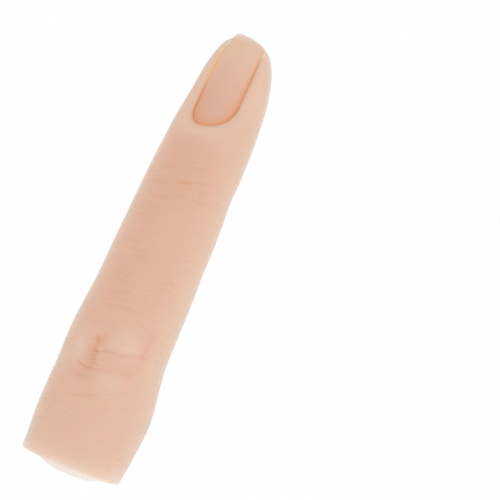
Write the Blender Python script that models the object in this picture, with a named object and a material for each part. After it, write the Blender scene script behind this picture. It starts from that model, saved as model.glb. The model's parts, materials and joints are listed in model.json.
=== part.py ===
"""A nail practice finger: a silicone skin over a jointed plastic core, with a nail that slides out.

The finger lies palm side down on z = 0 with its tip towards +Y. The silicone sleeve is parted at
the two knuckles, because each stretch of it moves with its own core. Metres, +Z up.
"""

import math

import bmesh
import bpy
from mathutils import Matrix, Vector

MM = 0.001

# Lengths of the three finger sections, base cut to tip
BASE_LENGTH = 20.0 * MM
MIDDLE_LENGTH = 32.3 * MM
TIP_LENGTH = 26.1 * MM
FINGER_WIDTH = 19.1 * MM
FINGER_DEPTH = 16.5 * MM

# Silicone sleeve
SKIN_WALL = 2.8 * MM
KNUCKLE_LIP = 1.0 * MM
BALL_FLOOR = 1.3 * MM
SEAM_GAP = 0.3 * MM
FIT_GAP = 0.25 * MM

# Nail and its slot
NAIL_LENGTH = 16.2 * MM
NAIL_WIDTH = 7.2 * MM
NAIL_THICKNESS = 0.9 * MM
NAIL_CURVE_RADIUS = 6.0 * MM
NAIL_TIP_SETBACK = 0.15 * MM
NAIL_DROP = 0.95 * MM
NAIL_CORNER = 1.5 * MM
CUTICLE_DEPTH = 4.2 * MM
CUTICLE_HIDDEN = 1.6 * MM
EDGE_HIDDEN = 0.4 * MM
TIP_NARROWING = 1.4 * MM
FOLD_FLARE = 2.2 * MM
NAIL_TILT = math.radians(6.5)
BED_THICKNESS = 1.3 * MM
BED_MARGIN = 0.6 * MM
BED_TIP_SETBACK = 2.6 * MM

# Hinges: first the knuckle between base and middle, then the one between middle and tip
PIP_SWING = math.radians(75.0)
DIP_SWING = math.radians(50.0)
PIP_EAR_RADIUS = 3.8 * MM
DIP_EAR_RADIUS = 2.9 * MM
PIP_EAR_THICKNESS = 2.1 * MM
DIP_EAR_THICKNESS = 1.7 * MM
PIP_TONGUE_WIDTH = 3.2 * MM
DIP_TONGUE_WIDTH = 2.5 * MM
PIP_PIN_RADIUS = 1.1 * MM
DIP_PIN_RADIUS = 0.9 * MM
PIP_WASHER_THICKNESS = 0.35 * MM
DIP_WASHER_THICKNESS = 0.3 * MM
HINGE_GAP = 0.15 * MM
PIN_HEAD_THICKNESS = 0.7 * MM
PIN_HEAD_OVERHANG = 0.7 * MM
PIN_TAIL_OVERHANG = 0.35 * MM
NECK_HEIGHT_SHARE = 0.8
WASHER_SHARE = 0.8
STOP_MARGIN = math.radians(1.5)

# Hard core
CORE_WEB = 1.8 * MM
CORE_RIM = 1.3 * MM
CORE_RIB = 1.6 * MM
CORE_TIP_SETBACK = 6.0 * MM
STEM_RADIUS = 1.9 * MM
STEM_LENGTH = 2.4 * MM
STEM_BARB = 0.35 * MM

# Domed plug in the mouth of the sleeve
PLUG_DEPTH = 4.0 * MM
PLUG_DOME = 1.35 * MM

# How finely curved faces are parted
RING_POINTS = 32
BALL_RINGS = 12
CIRCLE_POINTS = 24
RING_SPACING = 3.0 * MM
DOME_RINGS = 7
BAND_STEPS = 8
OVERRUN = 6.0 * MM

SECTION_ROUNDNESS_SHARE = 2.15
TIP_START_SHARE = 0.6
TIP_WIDTH_ROUND_SHARE = 2.0
TIP_TOP_ROUND_SHARE = 2.6
TIP_UNDER_ROUND_SHARE = 2.2
TIP_CENTRE_SHARE = 0.34
LAST_RING_SHARE = 0.985

# Place along the sections (0 to 1 base, 1 to 2 middle, 2 to 3 tip), then width as a share of
# FINGER_WIDTH and the heights of the back and the underside as shares of FINGER_DEPTH
SECTION_SHARES = (
    (0.00, 0.900, 0.982, 0.024),
    (0.20, 0.953, 0.994, 0.000),
    (0.40, 0.990, 1.000, -0.021),
    (0.55, 1.000, 1.000, -0.021),
    (0.75, 0.963, 0.990, 0.006),
    (1.00, 0.925, 0.982, 0.048),
    (1.15, 0.913, 0.958, 0.027),
    (1.35, 0.874, 0.909, 0.000),
    (1.55, 0.850, 0.867, -0.006),
    (1.75, 0.829, 0.830, 0.009),
    (2.00, 0.792, 0.806, 0.036),
    (2.15, 0.782, 0.776, 0.021),
    (2.35, 0.746, 0.727, -0.006),
    (2.60, 0.681, 0.667, -0.021),
)

FINGER_LENGTH = BASE_LENGTH + MIDDLE_LENGTH + TIP_LENGTH
# The whole part, dome included, is centred on the origin along Y
BASE_Y = (PLUG_DOME - FINGER_LENGTH) / 2
PIP_Y = BASE_Y + BASE_LENGTH
DIP_Y = PIP_Y + MIDDLE_LENGTH
TIP_Y = DIP_Y + TIP_LENGTH
TIP_START_Y = DIP_Y + TIP_LENGTH * TIP_START_SHARE


def clear_scene():
    for old in list(bpy.data.objects):
        bpy.data.objects.remove(old)


def make_material(name, colour, roughness, metallic=0.0):
    """A Principled material of one colour."""
    material = bpy.data.materials.new(name)
    material.use_nodes = True
    shader = material.node_tree.nodes["Principled BSDF"]
    shader.inputs["Base Color"].default_value = (*colour, 1.0)
    shader.inputs["Roughness"].default_value = roughness
    shader.inputs["Metallic"].default_value = metallic
    return material


def loft(name, rings, material=None):
    """A closed solid through rings of points, all with the same count, capped at both ends."""
    mesh = bmesh.new()
    rows = [[mesh.verts.new(point) for point in ring] for ring in rings]
    count = len(rows[0])
    for near, far in zip(rows, rows[1:]):
        for i in range(count):
            j = (i + 1) % count
            mesh.faces.new((near[i], near[j], far[j], far[i]))
    mesh.faces.new(list(reversed(rows[0])))
    mesh.faces.new(rows[-1])
    bmesh.ops.recalc_face_normals(mesh, faces=mesh.faces)
    data = bpy.data.meshes.new(name)
    mesh.to_mesh(data)
    mesh.free()
    if material:
        data.materials.append(material)
    solid = bpy.data.objects.new(name, data)
    bpy.context.scene.collection.objects.link(solid)
    return solid


def combine(target, operation, *tools):
    """Joins, cuts or keeps what target shares with each tool, and removes the tools."""
    for tool in tools:
        modifier = target.modifiers.new(operation.title(), "BOOLEAN")
        modifier.operation = operation
        modifier.solver = "EXACT"
        modifier.object = tool
        bpy.context.view_layer.update()
        shape = target.evaluated_get(bpy.context.evaluated_depsgraph_get())
        result = bpy.data.meshes.new_from_object(shape)
        target.modifiers.remove(modifier)
        target.data = result
        bpy.data.objects.remove(tool)
    return target


def join(target, *tools):
    return combine(target, "UNION", *tools)


def cut(target, *tools):
    return combine(target, "DIFFERENCE", *tools)


def keep(target, *tools):
    return combine(target, "INTERSECT", *tools)


def smooth_value(places, values, place):
    """A smooth curve through hand-picked values, with a level start and end."""
    last = len(places) - 1
    if place <= places[0]:
        return values[0]
    if place >= places[last]:
        return values[last]
    i = max(k for k in range(last) if places[k] <= place)
    span = places[i + 1] - places[i]
    t = (place - places[i]) / span

    def slope(k):
        if k in (0, last):
            return 0.0
        return (values[k + 1] - values[k - 1]) / (places[k + 1] - places[k - 1])

    blend = t * t * (3 - 2 * t)
    lean_start = t * (1 - t) * (1 - t) * span * slope(i)
    lean_end = t * t * (t - 1) * span * slope(i + 1)
    return values[i] + (values[i + 1] - values[i]) * blend + lean_start + lean_end


def section_place(y):
    """Turns a Y into a place along the sections."""
    if y <= PIP_Y:
        return max(0.0, (y - BASE_Y) / BASE_LENGTH)
    if y <= DIP_Y:
        return 1 + (y - PIP_Y) / MIDDLE_LENGTH
    return 2 + (y - DIP_Y) / TIP_LENGTH


def section(y):
    """Half width, height of the back and height of the underside of the finger at y."""
    places = [row[0] for row in SECTION_SHARES]
    place = section_place(y)
    half_width = smooth_value(places, [row[1] for row in SECTION_SHARES], place) * FINGER_WIDTH / 2
    top = smooth_value(places, [row[2] for row in SECTION_SHARES], place) * FINGER_DEPTH
    under = smooth_value(places, [row[3] for row in SECTION_SHARES], place) * FINGER_DEPTH
    if y > TIP_START_Y:
        t = min((y - TIP_START_Y) / (TIP_Y - TIP_START_Y), 1.0)
        centre = TIP_CENTRE_SHARE * FINGER_DEPTH
        half_width *= (1 - t**TIP_WIDTH_ROUND_SHARE) ** (1 / TIP_WIDTH_ROUND_SHARE)
        top = centre + (top - centre) * (1 - t**TIP_TOP_ROUND_SHARE) ** (1 / TIP_TOP_ROUND_SHARE)
        under = centre - (centre - under) * (1 - t**TIP_UNDER_ROUND_SHARE) ** (1 / TIP_UNDER_ROUND_SHARE)
    return half_width, top, under


def rounded(angle):
    """A point on the rounded unit outline that every section of the finger has."""
    power = 2 / SECTION_ROUNDNESS_SHARE
    across = math.copysign(abs(math.cos(angle)) ** power, math.cos(angle))
    up = math.copysign(abs(math.sin(angle)) ** power, math.sin(angle))
    return across, up


def section_ring(y, inset):
    half_width, top, under = section(y)
    middle = (top + under) / 2
    ring = []
    for i in range(RING_POINTS):
        across, up = rounded(math.tau * i / RING_POINTS)
        ring.append((across * (half_width - inset), y, middle + up * ((top - under) / 2 - inset)))
    return ring


def slab_places(start, end):
    """Evenly spread places from start to end, closing up towards the tip's end."""
    stop = min(end, TIP_START_Y)
    places = []
    if start < stop:
        count = max(1, math.ceil((stop - start) / RING_SPACING))
        places = [start + (stop - start) * i / count for i in range(count + 1)]
    if end > TIP_START_Y:
        reach = min(end, TIP_Y) - TIP_START_Y
        for i in range(0 if not places else 1, DOME_RINGS + 1):
            places.append(TIP_START_Y + reach * math.sin(math.pi / 2 * i / DOME_RINGS))
    return places


def finger_slab(name, start, end, inset=0.0, material=None):
    """The finger's own form between two places along Y, made smaller all round by inset."""
    places = slab_places(start, end)
    if end >= TIP_Y:
        places[-1] = places[-2] + (TIP_Y - places[-2]) * LAST_RING_SHARE
    return loft(name, [section_ring(y, inset) for y in places], material)


def knuckle_centre(y):
    half_width, top, under = section(y)
    return half_width, (top - under) / 2, Vector((0, y, (top + under) / 2))


def knuckle_ball(name, y, inset, material=None):
    """The finger's section at a knuckle, turned about that knuckle's axis."""
    half_width, radius, centre = knuckle_centre(y)
    pole_step = math.pi / (BALL_RINGS * 4)
    rings = []
    for k in range(BALL_RINGS + 1):
        angle = pole_step + (math.pi - 2 * pole_step) * k / BALL_RINGS
        across, out = rounded(angle)
        ring_centre = centre + Vector((across * (half_width - inset), 0, 0))
        rings.append(circle(ring_centre, out * (radius - inset), RING_POINTS))
    return loft(name, rings, material)


def circle(centre, radius, points=CIRCLE_POINTS):
    """A ring of points round an axis along X."""
    ring = []
    for i in range(points):
        angle = math.tau * i / points
        ring.append(centre + Vector((0, math.cos(angle) * radius, math.sin(angle) * radius)))
    return ring


def disc(name, centre, radius, start, end, material=None):
    """A short cylinder round an axis along X, from start to end across the finger."""
    rings = [circle(centre + Vector((x, 0, 0)), radius) for x in (start, end)]
    return loft(name, rings, material)


def plate(name, outline, start, end, material=None):
    """An outline of (y, z) points given thickness along X."""
    return loft(name, [[(x, y, z) for y, z in outline] for x in (start, end)], material)


def bar_outline(centre, radius, half_height, far_y):
    """A bar seen from the side: a disc about centre, and a straight neck that runs on to far_y."""
    ahead = 1 if far_y > centre.y else -1
    start = math.asin(half_height / radius)
    points = []
    steps = CIRCLE_POINTS * 2 // 3
    for i in range(steps + 1):
        angle = start + (math.tau - 2 * start) * i / steps
        points.append((centre.y + ahead * math.cos(angle) * radius, centre.z + math.sin(angle) * radius))
    points += [(far_y, centre.z - half_height), (far_y, centre.z + half_height)]
    return points


def wedge(name, knuckle, half_angle):
    """A slice below a knuckle, as wide to each side of straight down as half_angle."""
    reach = FINGER_DEPTH + OVERRUN
    centre = knuckle.centre
    steps = 6
    outline = [(centre.y, centre.z)]
    for i in range(steps + 1):
        angle = half_angle * (2 * i / steps - 1)
        outline.append((centre.y + math.sin(angle) * reach, centre.z - math.cos(angle) * reach))
    return plate(name, outline, -FINGER_WIDTH, FINGER_WIDTH)


class Knuckle:
    """The sizes of one hinge and of the ball of silicone round it."""

    def __init__(self, y, swing, ear_radius, ear_thickness, tongue_width, pin_radius, washer):
        self.half_width, self.radius, self.centre = knuckle_centre(y)
        self.y = y
        self.swing = swing
        self.ear_radius = ear_radius
        self.tongue_half = tongue_width / 2
        self.ear_inner = self.tongue_half + washer + 2 * HINGE_GAP
        self.ear_outer = self.ear_inner + ear_thickness
        self.pin_radius = pin_radius
        self.washer = washer
        self.pocket_radius = ear_radius + FIT_GAP
        self.pocket_half = self.ear_outer + FIT_GAP
        self.ball_radius = self.radius - KNUCKLE_LIP
        self.socket_radius = self.ball_radius + SEAM_GAP
        self.neck_half_height = ear_radius * NECK_HEIGHT_SHARE

    def ball(self):
        return knuckle_ball("ball", self.y, KNUCKLE_LIP)

    def socket(self):
        return knuckle_ball("socket", self.y, KNUCKLE_LIP - SEAM_GAP)

    def relief(self, gap=0.0):
        """The slice under the knuckle that closes up when it bends, less a gap on each side."""
        half_angle = self.swing / 2 + STOP_MARGIN - gap / self.radius
        return wedge("relief", self, half_angle)

    def pocket(self):
        """The space that the ears turn in, open to the bore behind it."""
        radius = self.pocket_radius
        outline = bar_outline(self.centre, radius, radius, self.y - self.ball_radius)
        return plate("pocket", outline, -self.pocket_half, self.pocket_half)

    def pin_hole(self):
        radius = self.pin_radius + HINGE_GAP
        return disc("pin_hole", self.centre, radius, -self.half_width, self.half_width)

    def neck_slot(self):
        """The way that the neck of the next core sweeps through the ball, from straight to bent."""
        half = self.neck_half_height + FIT_GAP
        reach = self.socket_radius + OVERRUN
        bent = Vector((0, math.cos(self.swing), -math.sin(self.swing)))
        bent_up = Vector((0, math.sin(self.swing), math.cos(self.swing)))
        outline = [self.centre + Vector((0, 0, half)), self.centre + Vector((0, reach, half))]
        steps = 8
        for i in range(steps + 1):
            angle = self.swing * i / steps
            outline.append(self.centre + reach * Vector((0, math.cos(angle), -math.sin(angle))))
        outline.append(self.centre + reach * bent - half * bent_up)
        outline.append(self.centre - half * bent_up)
        side = self.tongue_half + FIT_GAP
        return plate("neck_slot", [(p.y, p.z) for p in outline], -side, side)


PIP = Knuckle(
    PIP_Y,
    PIP_SWING,
    PIP_EAR_RADIUS,
    PIP_EAR_THICKNESS,
    PIP_TONGUE_WIDTH,
    PIP_PIN_RADIUS,
    PIP_WASHER_THICKNESS,
)
DIP = Knuckle(
    DIP_Y,
    DIP_SWING,
    DIP_EAR_RADIUS,
    DIP_EAR_THICKNESS,
    DIP_TONGUE_WIDTH,
    DIP_PIN_RADIUS,
    DIP_WASHER_THICKNESS,
)


# Places in the hard core that the skin and the core share
STEM_START_Y = BASE_Y + PLUG_DEPTH - STEM_LENGTH
BASE_CORE_START_Y = BASE_Y + PLUG_DEPTH + FIT_GAP
BASE_CORE_END_Y = PIP_Y - PIP.ball_radius + BALL_FLOOR
MIDDLE_CORE_START_Y = PIP_Y + PIP.socket_radius + FIT_GAP
MIDDLE_CORE_END_Y = DIP_Y - DIP.ball_radius + BALL_FLOOR
TIP_CORE_START_Y = DIP_Y + DIP.socket_radius + FIT_GAP
TIP_CORE_END_Y = TIP_Y - CORE_TIP_SETBACK


class Band:
    """A curved plate along the nail's line, seen from above: a round cuticle end, sides that may
    draw in towards the tip, and two small corners. Lengths run from the cuticle's edge."""

    def __init__(self, width, start, end, narrowing=0.0, cuticle_depth=CUTICLE_DEPTH):
        self.half_angle = math.asin(width / 2 / NAIL_CURVE_RADIUS)
        self.start = start
        self.end = end
        self.slant = narrowing / 2 / NAIL_CURVE_RADIUS / (end - start)
        self.cuticle_depth = cuticle_depth

    def stations(self):
        """Places along the band, each with the band's half angle there."""
        steps = 6
        for i in range(1, steps + 1):
            turn = math.pi / 2 * i / steps
            along = self.start + self.cuticle_depth * (1 - math.cos(turn))
            yield along, (self.half_angle - self.slant * (along - self.start)) * math.sin(turn)
        corner_angle = NAIL_CORNER / NAIL_CURVE_RADIUS
        steps = 4
        for i in range(steps + 1):
            turn = math.pi / 2 * i / steps
            along = self.end - NAIL_CORNER * (1 - math.sin(turn))
            side = self.half_angle - self.slant * (along - self.start)
            yield along, side - corner_angle * (1 - math.cos(turn))

    def solid(self, name, under_radius, top_radius, material=None):
        """The band between two radii about the nail's own axis."""
        rings = []
        for along, half_angle in self.stations():
            angles = [half_angle * (2 * i / BAND_STEPS - 1) for i in range(BAND_STEPS + 1)]
            ring = [nail_point(along, top_radius, angle) for angle in angles]
            ring += [nail_point(along, under_radius, angle) for angle in reversed(angles)]
            rings.append(ring)
        return loft(name, rings, material)


# The nail lies along its own line, which dips towards the tip
CUTICLE_Y = TIP_Y - NAIL_TIP_SETBACK - NAIL_LENGTH * math.cos(NAIL_TILT)
NAIL_ORIGIN = Vector((0, CUTICLE_Y, section(CUTICLE_Y)[1] - NAIL_DROP))
NAIL_FRAME = Matrix.Translation(NAIL_ORIGIN) @ Matrix.Rotation(-NAIL_TILT, 4, "X")


def nail_point(along, radius, angle):
    """A point at an angle from the nail's middle line, at a radius about the nail's axis."""
    height = math.cos(angle) * radius - NAIL_CURVE_RADIUS
    return NAIL_FRAME @ Vector((math.sin(angle) * radius, along, height))


NAIL_UNDER_RADIUS = NAIL_CURVE_RADIUS - NAIL_THICKNESS
BED_TOP_RADIUS = NAIL_UNDER_RADIUS - FIT_GAP
BED_UNDER_RADIUS = BED_TOP_RADIUS - BED_THICKNESS
PLATE_WIDTH = NAIL_WIDTH + 2 * EDGE_HIDDEN
BED_WIDTH = NAIL_WIDTH - 2 * BED_MARGIN
BED_END = NAIL_LENGTH - BED_TIP_SETBACK
NAIL_BAND = Band(PLATE_WIDTH, -CUTICLE_HIDDEN, NAIL_LENGTH, TIP_NARROWING)
SLOT_BAND = Band(PLATE_WIDTH + 2 * FIT_GAP, -CUTICLE_HIDDEN - FIT_GAP, NAIL_LENGTH + OVERRUN)
# The folds open out towards the tip until they clear the slot
WINDOW_BAND = Band(NAIL_WIDTH, 0, NAIL_LENGTH + OVERRUN, -FOLD_FLARE)
BED_BAND = Band(BED_WIDTH, BED_MARGIN, BED_END, TIP_NARROWING)
BED_POCKET_BAND = Band(BED_WIDTH + 2 * FIT_GAP, BED_MARGIN - FIT_GAP, BED_END + FIT_GAP, TIP_NARROWING)


def make_base_skin(material):
    """The sleeve's open base end, with the ball that the knuckle's lip rides over."""
    skin = finger_slab("base_skin", BASE_Y, PIP_Y, 0.0, material)
    cut(skin, PIP.relief())
    join(skin, PIP.ball())
    cut(skin, finger_slab("bore", BASE_Y - OVERRUN, BASE_CORE_END_Y + FIT_GAP, SKIN_WALL))
    return cut(skin, PIP.pocket(), PIP.neck_slot())


def make_middle_skin(material):
    skin = finger_slab("middle_skin", PIP_Y + SEAM_GAP, DIP_Y, 0.0, material)
    cut(skin, PIP.relief(), DIP.relief(), PIP.socket())
    join(skin, DIP.ball())
    cut(skin, finger_slab("bore", PIP_Y, MIDDLE_CORE_END_Y + FIT_GAP, SKIN_WALL))
    return cut(skin, DIP.pocket(), DIP.neck_slot())


def make_tip_skin(material):
    """The fingertip, with the nail's window, its slot under the folds and the bed's pocket."""
    skin = finger_slab("tip_skin", DIP_Y + SEAM_GAP, TIP_Y, 0.0, material)
    cut(skin, DIP.relief(), DIP.socket())
    cut(skin, finger_slab("bore", DIP_Y, TIP_CORE_END_Y + FIT_GAP, SKIN_WALL))
    window = WINDOW_BAND.solid("window", NAIL_CURVE_RADIUS - NAIL_THICKNESS / 2, NAIL_CURVE_RADIUS + OVERRUN)
    slot = SLOT_BAND.solid("slot", BED_TOP_RADIUS, NAIL_CURVE_RADIUS + FIT_GAP)
    bed_pocket = BED_POCKET_BAND.solid("bed_pocket", BED_UNDER_RADIUS - FIT_GAP, NAIL_UNDER_RADIUS)
    return cut(skin, window, slot, bed_pocket)


def make_fold(name, knuckle, material):
    """The soft web under a knuckle that is squeezed when the finger bends."""
    reach = knuckle.radius * 2
    fold = finger_slab(name, knuckle.y - reach, knuckle.y + reach, 0.0, material)
    keep(fold, knuckle.relief(SEAM_GAP))
    return cut(fold, knuckle.socket())


def flatten_underside(height, *skins):
    """What would reach below this height is pressed flat."""
    for skin in skins:
        corners = [(-FINGER_WIDTH, BASE_Y - OVERRUN), (FINGER_WIDTH, BASE_Y - OVERRUN)]
        corners += [(FINGER_WIDTH, TIP_Y + OVERRUN), (-FINGER_WIDTH, TIP_Y + OVERRUN)]
        cut(skin, loft("floor", [[(x, y, z) for x, y in corners] for z in (-OVERRUN, height)]))


def make_fork(name, knuckle, root_y):
    """Two ears with round ends."""
    outline = bar_outline(knuckle.centre, knuckle.ear_radius, knuckle.ear_radius, root_y)
    ears = []
    for side in (-1, 1):
        start, end = sorted((side * knuckle.ear_inner, side * knuckle.ear_outer))
        ears.append(plate(name, outline, start, end))
    return ears


def drill_fork(fork, knuckle):
    """The pin's hole through both ears, and a recess on each side for the pin's ends."""
    cut(fork, knuckle.pin_hole())
    seat_radius = knuckle.pin_radius + PIN_HEAD_OVERHANG + HINGE_GAP
    floor = knuckle.ear_outer - PIN_HEAD_THICKNESS - HINGE_GAP
    for side in (-1, 1):
        start, end = sorted((side * floor, side * knuckle.half_width))
        cut(fork, disc("pin_seat", knuckle.centre, seat_radius, start, end))
    return fork


def make_tongue(knuckle, root_y):
    """The single round-ended bar that turns between two ears, with its pin hole."""
    outline = bar_outline(knuckle.centre, knuckle.ear_radius, knuckle.neck_half_height, root_y)
    tongue = plate("tongue", outline, -knuckle.tongue_half, knuckle.tongue_half)
    return cut(tongue, knuckle.pin_hole())


def lighten(core, start_y, end_y, pockets):
    """Side pockets that leave a centre web, a rim all round and ribs between them."""
    room = end_y - start_y - 2 * CORE_RIM - (pockets - 1) * CORE_RIB
    length = room / pockets
    for i in range(pockets):
        near = start_y + CORE_RIM + i * (length + CORE_RIB)
        far = near + length
        for side in (-1, 1):
            low, high = [], []
            for y in (near, far):
                half_width, top, under = section(y)
                half_height = (top - under) / 2 - SKIN_WALL - FIT_GAP - CORE_RIM
                low.append((top + under) / 2 - half_height)
                high.append((top + under) / 2 + half_height)
            outline = [(near, low[0]), (far, low[1]), (far, high[1]), (near, high[0])]
            start, end = sorted((side * CORE_WEB / 2, side * FINGER_WIDTH))
            cut(core, plate("side_pocket", outline, start, end))
    return core


def core_body(name, start_y, end_y, material):
    return finger_slab(name, start_y, end_y, SKIN_WALL + FIT_GAP, material)


def make_base_core(material):
    """The root of the skeleton: a stem for the plug, a ribbed body and the first knuckle's fork."""
    core = core_body("base_core", BASE_CORE_START_Y, BASE_CORE_END_Y, material)
    lighten(core, BASE_CORE_START_Y, BASE_CORE_END_Y, 1)
    root_y = BASE_CORE_END_Y - CORE_RIM / 2
    join(core, *make_fork("ear", PIP, root_y))
    join(core, make_stem())
    return drill_fork(core, PIP)


def stem_axis_height():
    half_width, top, under = section(BASE_Y)
    return (top + under) / 2


def stem_ring(y, radius):
    height = stem_axis_height()
    ring = []
    for i in range(CIRCLE_POINTS):
        angle = math.tau * i / CIRCLE_POINTS
        ring.append((math.cos(angle) * radius, y, height + math.sin(angle) * radius))
    return ring


def make_stem():
    """A round peg with one barb, which the plug is pushed onto."""
    barb_y = STEM_START_Y + STEM_LENGTH / 3
    rings = [
        stem_ring(STEM_START_Y, STEM_RADIUS - STEM_BARB),
        stem_ring(barb_y, STEM_RADIUS + STEM_BARB),
        stem_ring(barb_y + STEM_BARB, STEM_RADIUS),
        stem_ring(BASE_CORE_START_Y + CORE_RIM / 2, STEM_RADIUS),
    ]
    return loft("stem", rings)


def make_middle_core(material):
    core = core_body("middle_core", MIDDLE_CORE_START_Y, MIDDLE_CORE_END_Y, material)
    lighten(core, MIDDLE_CORE_START_Y, MIDDLE_CORE_END_Y, 2)
    join(core, make_tongue(PIP, MIDDLE_CORE_START_Y + CORE_RIM / 2))
    join(core, *make_fork("ear", DIP, MIDDLE_CORE_END_Y - CORE_RIM / 2))
    return drill_fork(core, DIP)


def make_tip_core(material):
    """The last bone: a tongue, a body and the seat that the nail bed is bonded to."""
    core = core_body("tip_core", TIP_CORE_START_Y, TIP_CORE_END_Y, material)
    join(core, make_tongue(DIP, TIP_CORE_START_Y + CORE_RIM / 2))
    return cut(core, BED_POCKET_BAND.solid("bed_seat", BED_UNDER_RADIUS - FIT_GAP, NAIL_CURVE_RADIUS))


def make_nail(material):
    return NAIL_BAND.solid("nail", NAIL_UNDER_RADIUS, NAIL_CURVE_RADIUS, material)


def make_nail_bed(material):
    return BED_BAND.solid("nail_bed", BED_UNDER_RADIUS, BED_TOP_RADIUS, material)


def make_pin(name, knuckle, material):
    """A rivet: a flat head on one side and a peened end on the other."""
    centre = knuckle.centre
    end = knuckle.ear_outer
    radius = knuckle.pin_radius
    head = radius + PIN_HEAD_OVERHANG
    tail = radius + PIN_TAIL_OVERHANG
    places = (
        (-end, head),
        (-end + PIN_HEAD_THICKNESS, head),
        (-end + PIN_HEAD_THICKNESS, radius),
        (end - PIN_HEAD_THICKNESS, radius),
        (end - PIN_HEAD_THICKNESS, tail),
        (end - PIN_HEAD_THICKNESS / 2, tail),
        (end, radius),
    )
    return loft(name, [circle(centre + Vector((x, 0, 0)), r) for x, r in places], material)


def make_washer(name, knuckle, side, material):
    """One of the friction washers between the tongue and the ears, which hold the finger's pose."""
    near = side * (knuckle.tongue_half + HINGE_GAP)
    far = near + side * knuckle.washer
    washer = disc(name, knuckle.centre, knuckle.ear_radius * WASHER_SHARE, near, far, material)
    inner = knuckle.pin_radius + HINGE_GAP
    return cut(washer, disc("hole", knuckle.centre, inner, near - side * OVERRUN, far + side * OVERRUN))


def make_plug(material):
    """The pale plug that closes the sleeve. Its outer face is a shallow dome."""
    inner_y = BASE_Y + PLUG_DEPTH
    inset = SKIN_WALL + FIT_GAP
    rim = [Vector(point) for point in section_ring(BASE_Y, inset)]
    centre = Vector((0, BASE_Y, stem_axis_height()))
    rings = [section_ring(inner_y, inset)]
    steps = 7
    for i in range(steps + 1):
        turn = math.pi / 2 * i / steps
        share = max(math.cos(turn), 1 - LAST_RING_SHARE)
        out = Vector((0, -PLUG_DOME * math.sin(turn), 0))
        rings.append([centre + (point - centre) * share + out for point in rim])
    plug = loft("base_plug", rings, material)
    hole_radius = STEM_RADIUS + STEM_BARB + FIT_GAP
    hole = [stem_ring(STEM_START_Y - FIT_GAP, hole_radius), stem_ring(inner_y + OVERRUN, hole_radius)]
    return cut(plug, loft("stem_hole", hole))


def axis_empty(name, place, parent=None, tilt=0.0):
    """An empty on a joint's axis, which carries all that moves about it."""
    empty = bpy.data.objects.new(name, None)
    bpy.context.scene.collection.objects.link(empty)
    empty.location = place
    empty.rotation_euler = (tilt, 0, 0)
    if parent:
        carry(parent, empty)
    return empty


def carry(parent, *pieces):
    """Hangs pieces on an empty and leaves them where they are."""
    bpy.context.view_layer.update()
    for piece in pieces:
        piece.parent = parent
        piece.matrix_parent_inverse = parent.matrix_world.inverted()


def finish(*solids):
    """Smooth shading, with the real edges kept sharp."""
    for solid in solids:
        solid.data.shade_smooth()
        solid.data.set_sharp_from_angle(angle=math.radians(35))


def main():
    clear_scene()
    silicone = (0.80, 0.52, 0.38)
    skin = make_material("skin_silicone", silicone, 0.55)
    fold = make_material("fold_silicone", (0.78, 0.49, 0.36), 0.55)
    core = make_material("core_plastic", (0.82, 0.80, 0.74), 0.45)
    steel = make_material("pin_steel", (0.62, 0.62, 0.64), 0.30, 1.0)
    washer = make_material("washer_nylon", (0.75, 0.74, 0.70), 0.50)
    nail = make_material("nail_plate", (0.76, 0.46, 0.36), 0.40)
    bed = make_material("nail_bed", (0.74, 0.38, 0.32), 0.60)
    plug = make_material("plug_silicone", (0.88, 0.78, 0.74), 0.50)

    base = [
        make_base_skin(skin),
        make_base_core(core),
        make_plug(plug),
        make_pin("pip_pin", PIP, steel),
        make_washer("pip_washer_left", PIP, -1, washer),
        make_washer("pip_washer_right", PIP, 1, washer),
    ]
    middle = [
        make_middle_skin(skin),
        make_middle_core(core),
        make_pin("dip_pin", DIP, steel),
        make_washer("dip_washer_left", DIP, -1, washer),
        make_washer("dip_washer_right", DIP, 1, washer),
    ]
    tip = [make_tip_skin(skin), make_tip_core(core), make_nail_bed(bed)]
    folds = [make_fold("pip_fold", PIP, fold), make_fold("dip_fold", DIP, fold)]
    nail_plate = make_nail(nail)
    flatten_underside(0, base[0], middle[0], tip[0])
    flatten_underside(SEAM_GAP, *folds)
    finish(*base, *middle, *tip, *folds, nail_plate)

    pip_axis = axis_empty("pip_axis", PIP.centre)
    dip_axis = axis_empty("dip_axis", DIP.centre, pip_axis)
    nail_line = axis_empty("nail_line", NAIL_ORIGIN, dip_axis, -NAIL_TILT)
    carry(pip_axis, *middle, folds[1])
    carry(dip_axis, *tip)
    carry(nail_line, nail_plate)


main()
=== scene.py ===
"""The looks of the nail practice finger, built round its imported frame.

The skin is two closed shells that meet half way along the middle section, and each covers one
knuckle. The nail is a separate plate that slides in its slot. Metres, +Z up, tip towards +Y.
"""

import json
import math

import bpy
import numpy as np
from bpy.props import FloatProperty, FloatVectorProperty, PointerProperty
from bpy.types import Operator, Panel, PropertyGroup
from mathutils import Matrix, Vector


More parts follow.
